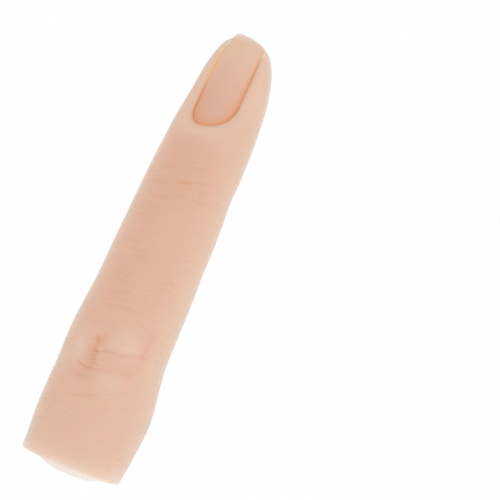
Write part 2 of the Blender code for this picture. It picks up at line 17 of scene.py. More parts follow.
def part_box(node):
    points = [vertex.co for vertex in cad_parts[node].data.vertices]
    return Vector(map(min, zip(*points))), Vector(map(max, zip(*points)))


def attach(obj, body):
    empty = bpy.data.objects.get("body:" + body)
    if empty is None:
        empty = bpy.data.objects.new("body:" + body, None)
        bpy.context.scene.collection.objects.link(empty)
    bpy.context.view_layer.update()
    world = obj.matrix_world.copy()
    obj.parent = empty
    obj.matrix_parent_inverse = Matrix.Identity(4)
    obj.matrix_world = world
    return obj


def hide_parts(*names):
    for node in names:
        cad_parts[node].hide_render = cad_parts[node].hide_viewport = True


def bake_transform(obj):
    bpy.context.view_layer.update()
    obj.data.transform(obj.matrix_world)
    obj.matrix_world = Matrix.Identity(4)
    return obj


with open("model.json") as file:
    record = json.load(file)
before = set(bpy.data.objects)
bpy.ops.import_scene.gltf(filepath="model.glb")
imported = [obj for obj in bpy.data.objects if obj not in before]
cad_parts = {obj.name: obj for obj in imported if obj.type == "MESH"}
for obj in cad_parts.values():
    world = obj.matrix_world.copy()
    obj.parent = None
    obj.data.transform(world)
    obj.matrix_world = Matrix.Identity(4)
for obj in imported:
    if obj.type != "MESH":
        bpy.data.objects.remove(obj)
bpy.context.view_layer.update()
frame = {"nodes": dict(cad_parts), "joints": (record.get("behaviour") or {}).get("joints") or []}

bl_info = {
    "name": "Nail practice finger",
    "version": (1, 0, 0),
    "blender": (4, 5, 0),
    "location": "3D View > Sidebar > Practice finger",
    "description": "Dresses the jointed frame of a nail practice finger in silicone skin",
    "category": "Mesh",
}

MM = 0.001

# Places that the frame gives
JOINTS = {joint["name"]: joint for joint in frame["joints"]}
PIP_Y = JOINTS["pip_bend"]["pos_m"][1]
DIP_Y = JOINTS["dip_bend"]["pos_m"][1]
BASE_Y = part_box("base_skin")[0].y
TIP_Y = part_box("tip_skin")[1].y
FINGER_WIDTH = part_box("base_skin")[1].x * 2
FINGER_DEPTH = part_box("base_skin")[1].z
BASE_LENGTH = PIP_Y - BASE_Y
MIDDLE_LENGTH = DIP_Y - PIP_Y
TIP_LENGTH = TIP_Y - DIP_Y

# Place along the sections (0 to 1 base, 1 to 2 middle, 2 to 3 tip), then as shares of the finger's
# width: how wide it is and how far it leans aside; as shares of its depth: back and underside;
# and how square its outline is
SECTION_SHARES = (
    (0.00, 0.928, 0.002, 0.982, 0.024, 2.15),
    (0.20, 0.958, 0.009, 0.994, 0.000, 2.15),
    (0.40, 0.990, 0.015, 1.000, -0.021, 2.15),
    (0.55, 1.000, 0.018, 1.000, -0.021, 2.15),
    (0.75, 0.963, 0.013, 0.990, 0.006, 2.15),
    (1.00, 0.925, -0.002, 0.982, 0.048, 2.15),
    (1.15, 0.913, -0.007, 0.958, 0.027, 2.15),
    (1.35, 0.878, -0.002, 0.909, 0.000, 2.15),
    (1.55, 0.858, -0.003, 0.867, -0.006, 2.15),
    (1.75, 0.838, 0.000, 0.830, 0.009, 2.15),
    (2.00, 0.801, 0.004, 0.806, 0.036, 2.15),
    (2.15, 0.792, 0.010, 0.776, 0.021, 2.18),
    (2.35, 0.758, 0.011, 0.727, -0.006, 2.25),
    (2.60, 0.680, 0.015, 0.667, -0.021, 2.35),
    (2.78, 0.624, 0.010, 0.667, -0.021, 2.35),
    (3.00, 0.614, 0.000, 0.667, -0.021, 2.35),
)
TIP_START_SHARE = 0.6
TIP_START_Y = DIP_Y + TIP_LENGTH * TIP_START_SHARE
TIP_WIDTH_ROUND_SHARE = 2.55
TIP_TOP_ROUND_SHARE = 2.6
TIP_UNDER_ROUND_SHARE = 2.2
TIP_CENTRE_SHARE = 0.34

# The skin's shells
SEAM_Y = PIP_Y + 17.5 * MM
SHELL = 1.2 * MM
END_WALL = 2.0 * MM
END_BULGE = 0.42 * MM
END_BULGE_REACH = 8 * MM
PLUG_ASIDE = 0.3 * MM
EDGE_ROUND = 0.25 * MM
PLUG_REACH = 4.4 * MM
BORE_END_Y = TIP_Y - 5.75 * MM
BORE_NARROW_Y = DIP_Y + 8.0 * MM
COLUMNS = 288
BACK_DENSITY_SHARE = 0.45
ROW_STEP = 0.14 * MM
REAR_ROW_STEP = 0.93 * ROW_STEP
TIP_ROW_SHARE = 1.3
EDGE_ROWS, WALL_ROWS = 5, 6
BORE_STEP = 2.0 * MM
REST_SOFTNESS = 0.12 * MM
MERGE_REACH = MM / 10000
LEAST = MM / 100
SHARP_ANGLE = math.radians(50)

# The meshes of the nail plate and the plug
CAP_ROWS, SIDE_ROWS, CORNER_ROWS = 26, 70, 24
PLATE_COLUMNS, PLATE_EDGE_COLUMNS = 61, 9
RIDGE_WAVES_PER_MM = 1.7
RIM_ROWS, DOME_ROWS = 8, 36
PLUG_RIM_REACH = 0.10

# The nail and its slot, in the nail's own frame
NAIL_LENGTH = 16.2 * MM
NAIL_HIDDEN = 1.6 * MM
NAIL_RADIUS = 6.0 * MM
NAIL_THICKNESS = 0.9 * MM
BED_END = 13.6 * MM
WINDOW_HALF = 3.6 * MM
WINDOW_LEFT = 3.85 * MM
WINDOW_START = -0.42 * MM
WINDOW_DEPTH = 4.42 * MM
CAP_ALONG = WINDOW_START + WINDOW_DEPTH
LIP_EDGE = 0.05 * MM
# How the window's sides draw in towards the tip; the nail plate has draws of its own
LEFT_DRAW = 1.1 * MM
LEFT_DRAW_POWER = 1.8
LEFT_SLANT = 1.15 * MM
LEFT_SLANT_LENGTH = 3.4 * MM
LEFT_SLANT_POWER = 1.4
LEFT_CORNER = 0.8 * MM
RIGHT_DRAW = 0.05 * MM
SLOT_HALF = 4.4 * MM
# How far the inner wall is lowered under the slot, and how far beside and behind it
SLOT_WALL = 0.4 * MM
SLOT_BESIDE, SLOT_BEHIND = 1.0 * MM, 2.5 * MM
MOUTH_STEP = 0.8 * MM
# Within these heights above the nail's face the fold is made whole, or the lip is rolled under
FOLD_RISES = (-2.0 * MM, -1.0 * MM)
LIP_RISES = (-0.1 * MM, 0.35 * MM)
# Within these lengths before the free edge the fold, and the skin's pull to the window, run out
FOLD_ENDS = (0.1 * MM, 1.4 * MM)
PULL_ENDS = (0.6 * MM, 3.4 * MM)
PULL_FADE = (1.4 * MM, 4.6 * MM)
# Inwards from the window's edge: the way on the form, then as shares how far the lip's underside
# stands out under the skin and how far it has sunk to the slot's floor
LIP_WAY = np.array([0.0, 0.22, 0.42, 0.75, 1.0, 1.25, 3.6]) * MM
LIP_OUT_SHARES = np.array([0.0, 0.6, 0.95, 1.0, 0.75, 0.30, -5.5])
LIP_SINK_SHARES = np.array([0.0, -0.05, 0.08, 0.85, 1.0, 1.0, 1.0])
SLIDE_AXIS = Vector(JOINTS["nail_slide"]["axis"])
NAIL_TILT = math.asin(-SLIDE_AXIS.z)
NAIL_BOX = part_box("nail")
NAIL_ORIGIN = Vector((
    0,
    NAIL_BOX[1].y - NAIL_LENGTH * math.cos(NAIL_TILT),
    NAIL_BOX[1].z - NAIL_HIDDEN * math.sin(NAIL_TILT),
))
NAIL_FRAME = Matrix.Translation(NAIL_ORIGIN) @ Matrix.Rotation(-NAIL_TILT, 4, "X")

# Lengths along the finger, from the base end where nothing else is said, between which its relief
# and its colours fade in or out
PIP_ALONG = PIP_Y - BASE_Y
DIP_ALONG = DIP_Y - BASE_Y
TIP_ALONG = TIP_Y - BASE_Y
END_CALM = (0.2 * MM, 1.6 * MM)
SMOOTH_PAST_DIP = (3.5 * MM, 7.5 * MM)
LOW_FAN_END = (14 * MM, 18 * MM)
SIDE_LIGHT_SHIFT = (34 * MM, 44 * MM)
FRONT_BEFORE_TIP = (-2.8 * MM, -0.6 * MM)
LEFT_SHADE_START = (6 * MM, 14 * MM)
FLUSH_START = (23 * MM, 31 * MM)
FLUSH_END = (56 * MM, 61 * MM)
PALE_END_REACH = 1.2 * MM
CUT_EDGE = (0.15 * MM, 0.4 * MM)
PIP_WRINKLED, DIP_WRINKLED = 8 * MM, 5 * MM
PIP_RISE, PIP_RISE_REACH = 0.10 * MM, 4.5 * MM

# Sizes of the random hills, and how far they push the wrinkles along or the skin out
WANDERS = (((3.4 * MM, 2.4 * MM, 3.4 * MM), 0.55 * MM), ((1.1 * MM, 0.8 * MM, 1.1 * MM), 0.16 * MM))
SWELLS = (((5 * MM, 4 * MM, 5 * MM), 0.05 * MM), ((1.7 * MM, 1.3 * MM, 1.7 * MM), 0.018 * MM))
PATCH_SIZE = (2.6 * MM, 0.9 * MM, 2.6 * MM)
SPOT_RIPPLE = (1.6 * MM, 1.6 * MM, 1.6 * MM)
USUAL_WRINKLE = 0.05 * MM

# How far the painted shade and light round the nail reach from the window's edge, and the heights
# they fade between
CALM_BY_NAIL = (0.2 * MM, 2.0 * MM)
GROOVE_IN, GROOVE_OUT, AMBER_OUT = 1.5 * MM, 0.14 * MM, 0.2 * MM
CREVICE_REACH = 0.5 * MM
RIM_AWAY, RIM_REACH = 1.2 * MM, 1.3 * MM
NAIL_RIM_REACH = 0.5 * MM
COLOUR_RISES = (-1.2 * MM, -0.4 * MM)
AMBER_LEFT, AMBER_RIGHT = (3.5 * MM, 9 * MM), (8 * MM, 13 * MM)
FADE_LEFT, FADE_RIGHT = (10.5 * MM, 14.5 * MM), (12.7 * MM, 15.6 * MM)
CUTICLE_END = (3 * MM, 7 * MM)
SEAM_REACH = 0.42 * MM


def paint(red, green, blue):
    """A colour as it looks on screen, 0 to 255, turned into the one that Blender stores."""
    linear = []
    for part in (red, green, blue):
        part /= 255
        linear.append(part / 12.92 if part <= 0.04045 else ((part + 0.055) / 1.055) ** 2.4)
    return tuple(linear)


# Form of the finger


def step(low, high, value):
    """0 up to low, 1 from high, smooth between."""
    t = np.clip((value - low) / (high - low), 0, 1)
    return t * t * (3 - 2 * t)


def bell(value, reach, power=2):
    """1 where value is 0, and next to nothing from twice the reach on."""
    return np.exp(-((value / reach) ** power))


def mix(a, b, share):
    return a + (b - a) * share


def smooth_column(column, place):
    """A smooth curve through one column of the sections, level at both ends."""
    places = np.array([row[0] for row in SECTION_SHARES])
    values = np.array([row[column] for row in SECTION_SHARES])
    slopes = np.zeros(len(places))
    slopes[1:-1] = (values[2:] - values[:-2]) / (places[2:] - places[:-2])
    place = np.clip(place, places[0], places[-1])
    i = np.clip(np.searchsorted(places, place, side="right") - 1, 0, len(places) - 2)
    span = places[i + 1] - places[i]
    t = (place - places[i]) / span
    curve = mix(values[i], values[i + 1], t * t * (3 - 2 * t))
    return curve + span * t * (1 - t) * ((1 - t) * slopes[i] - t * slopes[i + 1])


def section(y):
    """Half width, sideways lean, middle height, half height and squareness of the finger at y."""
    place = np.where(y <= PIP_Y, (y - BASE_Y) / BASE_LENGTH, 1 + (y - PIP_Y) / MIDDLE_LENGTH)
    place = np.where(y <= DIP_Y, place, 2 + (y - DIP_Y) / TIP_LENGTH)
    half_width = smooth_column(1, place) * FINGER_WIDTH / 2
    aside = smooth_column(2, place) * FINGER_WIDTH
    top = smooth_column(3, place) * FINGER_DEPTH
    under = smooth_column(4, place) * FINGER_DEPTH
    square = smooth_column(5, place)
    t = np.clip((y - TIP_START_Y) / (TIP_Y - TIP_START_Y), 0, 1)
    centre = TIP_CENTRE_SHARE * FINGER_DEPTH
    rounding = [
        (1 - t**power) ** (1 / power)
        for power in (TIP_WIDTH_ROUND_SHARE, TIP_TOP_ROUND_SHARE, TIP_UNDER_ROUND_SHARE)
    ]
    in_tip = y > TIP_START_Y
    half_width = np.where(in_tip, half_width * rounding[0], half_width)
    top = np.where(in_tip, centre + (top - centre) * rounding[1], top)
    under = np.where(in_tip, centre - (centre - under) * rounding[2], under)
    return half_width, aside, (top + under) / 2, (top - under) / 2, square


def surface(angle, y, inset=0.0):
    """Points of the finger's form, at an angle from the middle of its back, inset from its skin."""
    half_width, aside, middle, half_height, square = section(y)
    across, up = np.sin(angle), np.cos(angle)
    reach = (np.abs(across) ** square + np.abs(up) ** square) ** (-1 / square)
    x = aside + across * reach * np.maximum(half_width - inset, 0)
    z = middle + up * reach * np.maximum(half_height - inset, 0)
    return np.stack([x, y + 0 * x, z], axis=-1)


def lay_on_table(points):
    """What would reach below the table is pressed flat, with a soft edge."""
    z = points[..., 2]
    points[..., 2] = 0.5 * (z + np.sqrt(z * z + REST_SOFTNESS**2)) - REST_SOFTNESS / 2
    points[..., 2] = np.maximum(points[..., 2], 0)


def hills(points, size, seed):
    """Smooth random hills between -1 and 1, about as long as size along each axis."""
    lattice = np.random.default_rng(seed).uniform(-1, 1, (32, 32, 32))
    scaled = points / np.array(size)
    cell = np.floor(scaled).astype(int)
    t = scaled - cell
    t = t * t * t * (t * (t * 6 - 15) + 10)
    total = np.zeros(points.shape[:-1])
    for corner in np.ndindex(2, 2, 2):
        weight = np.ones(points.shape[:-1])
        for axis in range(3):
            weight = weight * (t[..., axis] if corner[axis] else 1 - t[..., axis])
        index = (cell + np.array(corner)) % 32
        total += weight * lattice[index[..., 0], index[..., 1], index[..., 2]]
    return total


# Creases of the two knuckles and of the palm side. Each runs through three points, given as an
# angle round the finger in degrees from the middle of its back and a length from the base end in
# millimetres, and has a depth and a half width in millimetres and shares of painted shade and of
# blush
CREASES = (
    # The near knuckle
    ((-11.8, 21.96), (-10.0, 19.92), (-7.0, 17.48), 0.14, 0.45, 0.12, 0.40),
    ((-14.6, 22.36), (-11.1, 21.52), (-6.6, 20.92), 0.12, 0.30, 0.62, 0.10),
    ((-13.0, 20.12), (-8.9, 19.62), (-4.5, 19.42), 0.12, 0.28, 0.66, 0.10),
    ((-27.5, 16.98), (-13.5, 16.48), (-1.5, 16.68), 0.15, 0.25, 0.62, 0.20),
    ((-3.1, 16.68), (8.0, 17.08), (21.0, 17.62), 0.11, 0.30, 0.14, 0.20),
    ((-4.0, 19.62), (6.0, 20.22), (15.5, 20.32), 0.11, 0.28, 0.22, 0.30),
    ((14.0, 20.32), (23.0, 20.62), (34.0, 21.12), 0.10, 0.28, 0.22, 0.20),
    ((33.0, 21.22), (41.7, 21.32), (49.0, 21.52), 0.06, 0.45, 0.06, 0.45),
    ((26.0, 17.38), (34.0, 17.82), (44.0, 19.12), 0.06, 0.35, 0.02, 0.30),
    ((5.2, 16.08), (16.3, 16.78), (26.8, 17.68), 0.06, 0.28, 0.02, 0.15),
    ((38.0, 26.26), (44.5, 24.26), (42.0, 21.86), 0.05, 0.60, 0.00, 0.30),
    ((12.0, 22.26), (16.1, 22.26), (20.0, 22.46), 0.04, 0.30, 0.02, 0.35),
    ((-29.1, 27.06), (-11.5, 27.66), (2.5, 27.76), 0.07, 0.30, 0.12, 0.15),
    ((1.0, 27.76), (12.6, 28.06), (24.0, 28.36), 0.07, 0.30, 0.10, 0.15),
    ((-14.0, 24.96), (-3.6, 24.96), (2.5, 25.16), 0.05, 0.30, 0.04, 0.20),
    ((-2.9, 24.16), (6.4, 24.36), (14.0, 24.56), 0.05, 0.30, 0.04, 0.20),
    ((17.9, 26.66), (27.3, 26.26), (35.7, 26.36), 0.05, 0.32, 0.04, 0.20),
    ((-50.1, 24.56), (-37.3, 25.26), (-26.8, 25.26), 0.06, 0.30, 0.08, 0.10),
    ((-29.7, 14.68), (-17.4, 14.88), (-6.4, 14.88), 0.05, 0.32, 0.02, 0.30),
    ((-21.3, 11.38), (-4.8, 11.88), (12.7, 13.08), 0.07, 0.30, 0.06, 0.15),
    ((17.2, 13.48), (29.1, 14.48), (39.2, 15.78), 0.07, 0.30, 0.06, 0.15),
    # Between the knuckles
    ((-21.7, 36.56), (-9.9, 36.66), (2.7, 37.16), 0.06, 0.28, 0.05, 0.20),
    ((-29.5, 32.86), (-20.3, 33.16), (-10.6, 33.36), 0.06, 0.26, 0.05, 0.20),
    ((-27.7, 32.36), (-16.5, 32.06), (0.2, 32.26), 0.07, 0.28, 0.05, 0.25),
    ((-26.4, 29.56), (-11.4, 30.26), (3.7, 30.96), 0.06, 0.28, 0.05, 0.20),
    ((-28.3, 28.26), (-10.9, 28.86), (4.4, 29.16), 0.06, 0.28, 0.06, 0.20),
    ((33.2, 34.66), (42.1, 34.66), (52.6, 34.76), 0.06, 0.28, 0.02, 0.30),
    ((38.0, 38.86), (50.2, 39.26), (62.8, 40.06), 0.06, 0.28, 0.05, 0.20),
    ((45.3, 37.96), (54.0, 37.96), (63.7, 37.76), 0.06, 0.28, 0.05, 0.15),
    ((-33.5, 38.86), (-23.5, 39.06), (-13.5, 39.26), 0.06, 0.28, 0.05, 0.20),
    ((-28.3, 37.66), (-12.2, 37.96), (3.5, 38.36), 0.06, 0.28, 0.05, 0.20),
    ((27.1, 33.06), (40.2, 33.16), (56.3, 32.96), 0.06, 0.28, 0.04, 0.20),
    # The far knuckle
    ((-5.8, 50.86), (4.7, 51.16), (14.6, 51.66), 0.07, 0.24, 0.44, 0.20),
    ((13.0, 51.66), (26.0, 52.16), (39.1, 52.56), 0.06, 0.26, 0.05, 0.32),
    ((-43.1, 52.16), (-31.0, 52.36), (-14.0, 53.06), 0.04, 0.32, 0.03, 0.25),
    ((6.3, 53.96), (16.2, 54.26), (28.8, 54.26), 0.05, 0.28, 0.12, 0.15),
    ((-47.1, 49.56), (-31.0, 49.86), (-16.4, 50.16), 0.04, 0.38, 0.02, 0.30),
    ((-32.3, 47.46), (-16.8, 47.56), (-4.5, 47.96), 0.04, 0.34, 0.02, 0.22),
    ((-6.7, 48.66), (3.3, 48.66), (12.0, 48.96), 0.03, 0.34, 0.02, 0.22),
    ((-11.5, 47.66), (-3.7, 47.76), (4.2, 48.06), 0.04, 0.20, 0.10, 0.10),
    ((23.6, 50.76), (31.6, 50.76), (40.3, 50.76), 0.04, 0.28, 0.02, 0.30),
    ((-33.9, 45.86), (-17.4, 45.76), (-2.9, 46.16), 0.04, 0.32, 0.02, 0.20),
    ((21.0, 48.96), (34.0, 48.96), (47.6, 49.06), 0.04, 0.32, 0.02, 0.25),
    ((-39.5, 43.46), (-25.2, 43.66), (-10.9, 43.56), 0.06, 0.28, 0.10, 0.15),
    ((-13.0, 59.06), (-4.6, 59.36), (4.3, 59.66), 0.02, 0.25, 0.04, 0.25),
    ((-35.5, 54.96), (-21.7, 55.06), (-12.6, 55.66), 0.03, 0.40, 0.02, 0.25),
    # The palm side, where the finger folds
    ((118.0, 19.0), (180.0, 17.9), (242.0, 19.0), 0.55, 0.42, 0.40, 0.20),
    ((122.0, 21.2), (180.0, 21.0), (238.0, 21.4), 0.38, 0.38, 0.30, 0.20),
    ((116.0, 51.6), (180.0, 50.6), (244.0, 51.6), 0.50, 0.40, 0.40, 0.20),
    ((135.0, 53.0), (180.0, 52.5), (222.0, 53.2), 0.16, 0.32, 0.15, 0.20),
    ((140.0, 3.4), (180.0, 3.0), (220.0, 3.6), 0.18, 0.40, 0.12, 0.20),
)

# Soft spots of colour, and low or raised ground: angle, length from the base, reach in degrees,
# reach in millimetres, height in millimetres, share of blush, share of paleness
SPOTS = (
    (-31.0, 19.4, 13.0, 3.0, 0.16, 0.00, 0.75),
    (22.0, 22.3, 17.0, 2.2, 0.14, 0.00, 0.70),
    (18.0, 15.7, 14.0, 1.6, 0.06, 0.00, 0.50),
    (-4.3, 22.0, 5.0, 1.1, -0.04, 0.75, 0.00),
    (-15.0, 19.7, 6.0, 1.8, -0.04, 0.45, 0.00),
    (-9.0, 17.8, 6.0, 1.6, -0.05, 0.60, 0.00),
    (42.0, 22.6, 6.0, 1.5, -0.03, 0.45, 0.00),
    (46.0, 25.3, 3.5, 0.7, -0.02, 0.30, 0.00),
    (30.0, 18.2, 9.0, 1.2, 0.05, 0.30, 0.00),
    (-14.0, 14.9, 8.0, 1.5, 0.00, 0.35, 0.00),
    (2.0, 51.7, 34.0, 4.6, 0.00, 0.22, 0.00),
    (-24.0, 51.7, 9.0, 0.7, 0.05, 0.00, 0.20),
)


def wound(angle):
    """The same angle, counted from minus to plus half a turn."""
    return (angle + math.pi) % math.tau - math.pi


def curve_through(start, middle, end, count=20):
    """Points of a smooth arc from start to end by way of middle."""
    t = np.linspace(0, 1, count)[:, None]
    start, middle, end = (np.array(point, float) for point in (start, middle, end))
    return start * (1 - t) * (1 - 2 * t) + middle * 4 * t * (1 - t) + end * t * (2 * t - 1)


class Relief:
    """How far the skin stands off the finger's form at each point, and what colours it there,
    painted light and shade among them.
    """

    def __init__(self, points):
        half_width, aside, middle, half_height, _ = section(points[..., 1])
        self.girth = np.maximum((half_width + half_height) / 2, MM)
        self.angle = np.arctan2(
            (points[..., 0] - aside) / np.maximum(half_width, MM / 10),
            (points[..., 2] - middle) / np.maximum(half_height, MM / 10),
        )
        self.along = points[..., 1] - BASE_Y
        self.points = points
        looks = np.zeros((5, *points.shape[:-1]))
        self.height, self.tint, self.blush, self.pale, self.milky = looks

    def crease(self, start, middle, end, depth, half_width, tint, blush):
        """A valley along an arc, which runs out at both ends."""
        line = curve_through(start, middle, end)
        centre = math.radians(middle[0])
        reach = (np.ptp(line[:, 1]) + half_width * 6) * MM
        near = np.abs(self.along - line[:, 1].mean() * MM) < reach
        along, girth = self.along[near], self.girth[near]
        nearest = np.full(along.shape, np.inf)
        taper = np.zeros(along.shape)
        offset = wound(self.angle[near] - centre) * girth
        for i, (degrees, place) in enumerate(line):
            turn = math.radians(degrees) - centre
            distance = np.hypot(offset - turn * girth, along - place * MM)
            closer = distance < nearest
            nearest = np.where(closer, distance, nearest)
            taper = np.where(closer, math.sin(math.pi * (i + 0.5) / len(line)) ** 0.6, taper)
        valley = bell(nearest, half_width * MM) * taper
        bank = bell(nearest, half_width * MM * 2.4) * taper
        self.height[near] += depth * MM * (0.35 * bank - valley)
        # Painted shade at the bottom of the valley
        self.tint[near] += tint * valley
        self.blush[near] += blush * valley

    def spot(self, degrees, along, reach_degrees, reach, height, blush, pale):
        """A soft patch with a ragged edge."""
        around = wound(self.angle - math.radians(degrees)) / math.radians(reach_degrees)
        ahead = (self.along - along * MM) / (reach * MM)
        ripple = 1 + 0.35 * hills(self.points, SPOT_RIPPLE, 40 + int(along))
        strength = np.exp(-(around**2 + ahead**2) * ripple)
        self.height += height * MM * strength
        self.blush += blush * strength
        self.pale += pale * strength

    def wrinkles(self, spacing, depth, mask, slant, bow, seed):
        """Fine lines across the finger, that wander and come and go."""
        across = self.angle * self.girth
        line = self.along - slant * across + bow * across**2 / FINGER_WIDTH
        for i, (size, push) in enumerate(WANDERS):
            line += hills(self.points, size, seed + i) * push
        valley = (1 - np.abs(np.sin(math.pi * line / spacing))) ** 2.2
        patchy = step(-0.55, 0.45, hills(self.points, PATCH_SIZE, seed + 2))
        strength = valley * patchy * mask
        self.height -= depth * strength
        # Painted shade in the lines' valleys
        self.tint += 0.06 * strength * depth / USUAL_WRINKLE
        self.blush += 0.08 * strength * depth / USUAL_WRINKLE


def skin_relief(points, skin):
    """The relief of the whole finger: fine wrinkles, knuckle creases and palm folds."""
    relief = Relief(points)
    along, angle = relief.along, relief.angle
    back = step(-0.15, 0.35, np.cos(angle))
    palm = 1 - step(-0.6, 0.0, np.cos(angle))
    ends = step(*END_CALM, along)
    behind_nail = ends * (1 - step(*SMOOTH_PAST_DIP, along - DIP_ALONG))
    on_back = back * behind_nail
    knuckles = bell(along - PIP_ALONG, PIP_WRINKLED) + 0.3 * bell(along - DIP_ALONG, DIP_WRINKLED)
    low_right = step(0.5, 1.1, angle) * (1 - step(*LOW_FAN_END, along)) * ends
    gap, depth = skin.wrinkle_spacing, skin.wrinkle_depth
    relief.wrinkles(gap, depth, on_back * (0.55 + 0.6 * knuckles), slant=0.12, bow=0.25, seed=1)
    relief.wrinkles(gap * 1.27, depth * 0.8, on_back, slant=-0.04, bow=0.25, seed=5)
    relief.wrinkles(gap * 1.5, depth * 1.3, low_right, slant=0.75, bow=0.0, seed=9)
    relief.wrinkles(gap * 1.6, depth * 0.7, palm * behind_nail, slant=0.05, bow=0.0, seed=13)
    # Painted light round both sides, stronger on the right, as paler skin
    left = math.radians(-34)
    right = math.radians(36) + math.radians(9) * step(*SIDE_LIGHT_SHIFT, along)
    relief.pale += skin.right_side_light * step(0, 0.8, angle - right)
    relief.pale += skin.left_side_light * step(left, left - 0.65, angle)
    # Paler all round towards the fingertip's front
    front = step(*FRONT_BEFORE_TIP, along - TIP_ALONG)
    relief.pale = mix(relief.pale, 0.7, front)
    # Painted shade down the left of the back, where the least light falls, in the blush colour
    relief.blush += 0.16 * bell(angle + 0.35, 0.45) * step(*LEFT_SHADE_START, along) * (1 - front)
    forward = step(*FLUSH_START, along) * (1 - step(*FLUSH_END, along))
    relief.blush += 0.22 * bell(angle - 0.12, 0.60, 4) * forward
    # Paler towards the base end, and a painted highlight along its cut edge
    relief.milky += 0.62 * np.exp(-along / PALE_END_REACH) + 0.15 * (1 - step(*CUT_EDGE, along))
    for crease in CREASES:
        relief.crease(*crease)
    for spot in SPOTS:
        relief.spot(*spot)
    for i, (size, push) in enumerate(SWELLS):
        relief.height += hills(points, size, 21 + i) * push * ends
    relief.height += PIP_RISE * bell(along - PIP_ALONG, PIP_RISE_REACH) * back
    return relief


# The nail's window in the skin


def to_nail(points):
    """Distance round the nail's axis at its face, length along it, and height off the face."""
    inverse = np.array(NAIL_FRAME.inverted())
    local = points @ inverse[:3, :3].T + inverse[:3, 3]
    height = local[..., 2] + NAIL_RADIUS
    radius = np.hypot(local[..., 0], height)
    return np.arctan2(local[..., 0], height) * NAIL_RADIUS, local[..., 1], radius - NAIL_RADIUS


def from_nail(across, along, rise):
    """The other way round: the points at these places on the nail."""
    angle = across / NAIL_RADIUS
    radius = rise + NAIL_RADIUS
    local = np.stack([np.sin(angle) * radius, along, np.cos(angle) * radius - NAIL_RADIUS], axis=-1)
    matrix = np.array(NAIL_FRAME)
    return local @ matrix[:3, :3].T + matrix[:3, 3]


def corner_inset(from_end, radius):
    """How far a round corner draws a side in, at a distance from the end."""
    beyond = np.clip(1 - from_end / radius, 0, 1)
    return radius * (1 - np.sqrt(1 - beyond**2))


def left_inset(from_end):
    """How far the front of the left side draws in: first at a slant, then round the corner."""
    slant = LEFT_SLANT * np.clip(1 - from_end / LEFT_SLANT_LENGTH, 0, 1) ** LEFT_SLANT_POWER
    return slant + corner_inset(from_end, LEFT_CORNER)


def window_half(across, along):
    """From the nail's middle to the window's side. The left side draws in towards the tip."""
    share = np.clip((along - CAP_ALONG) / (NAIL_LENGTH - CAP_ALONG), 0, 1.3)
    left = WINDOW_LEFT - LEFT_DRAW * share**LEFT_DRAW_POWER - left_inset(NAIL_LENGTH - along)
    return np.where(across < 0, left, WINDOW_HALF - RIGHT_DRAW * share)


def window_skew(across, along, nail):
    """The cuticle's line isn't square to the finger: its right side lies further forward."""
    fade = 1 - step(CAP_ALONG * 0.6, CAP_ALONG * 2.2, along)
    return nail.cuticle_skew * across * fade


def cap_reach(across, turn, nail):
    """From the cap's centre to the window's edge; turn is 0 to the side and a quarter turn back."""
    half = np.where(across < 0, WINDOW_LEFT, WINDOW_HALF)
    square = np.where(across < 0, nail.cuticle_left_square, nail.cuticle_right_square)
    side, back = np.abs(np.cos(turn)) / half, np.abs(np.sin(turn)) / WINDOW_DEPTH
    return (side**square + back**square) ** (-1 / square)


def window_distance(across, along, nail):
    """Distance outside the window's edge, less than 0 inside it, and the way outwards."""
    along = along - window_skew(across, along, nail)
    back = np.maximum(CAP_ALONG - along, 0)
    turn = np.arctan2(back, np.abs(across))
    in_cap = back > 0
    distance = np.hypot(across, back) - cap_reach(across, turn, nail)
    distance = np.where(in_cap, distance, np.abs(across) - window_half(across, along))
    outwards = np.where(in_cap, np.cos(turn), 1.0) * np.sign(across)
    backwards = np.where(in_cap, -np.sin(turn), 0.0)
    return distance, outwards, backwards


def amber_share(across, along):
    """How far the groove's painted shade has turned from orange to a lighter yellow-orange towards
    the front, painted as the fold's wall lit through.
    """
    return np.where(across < 0, step(*AMBER_LEFT, along), 0.3 * step(*AMBER_RIGHT, along))


def groove_fade(across, along):
    """The groove's painted shade runs out before the free edge, on the left side sooner."""
    return 1 - np.where(across < 0, step(*FADE_LEFT, along), step(*FADE_RIGHT, along))


def nearest_to(values, aim):
    """How far the value nearest to the aim lies beyond it."""
    return values[np.argmin(np.abs(values - aim))] - aim


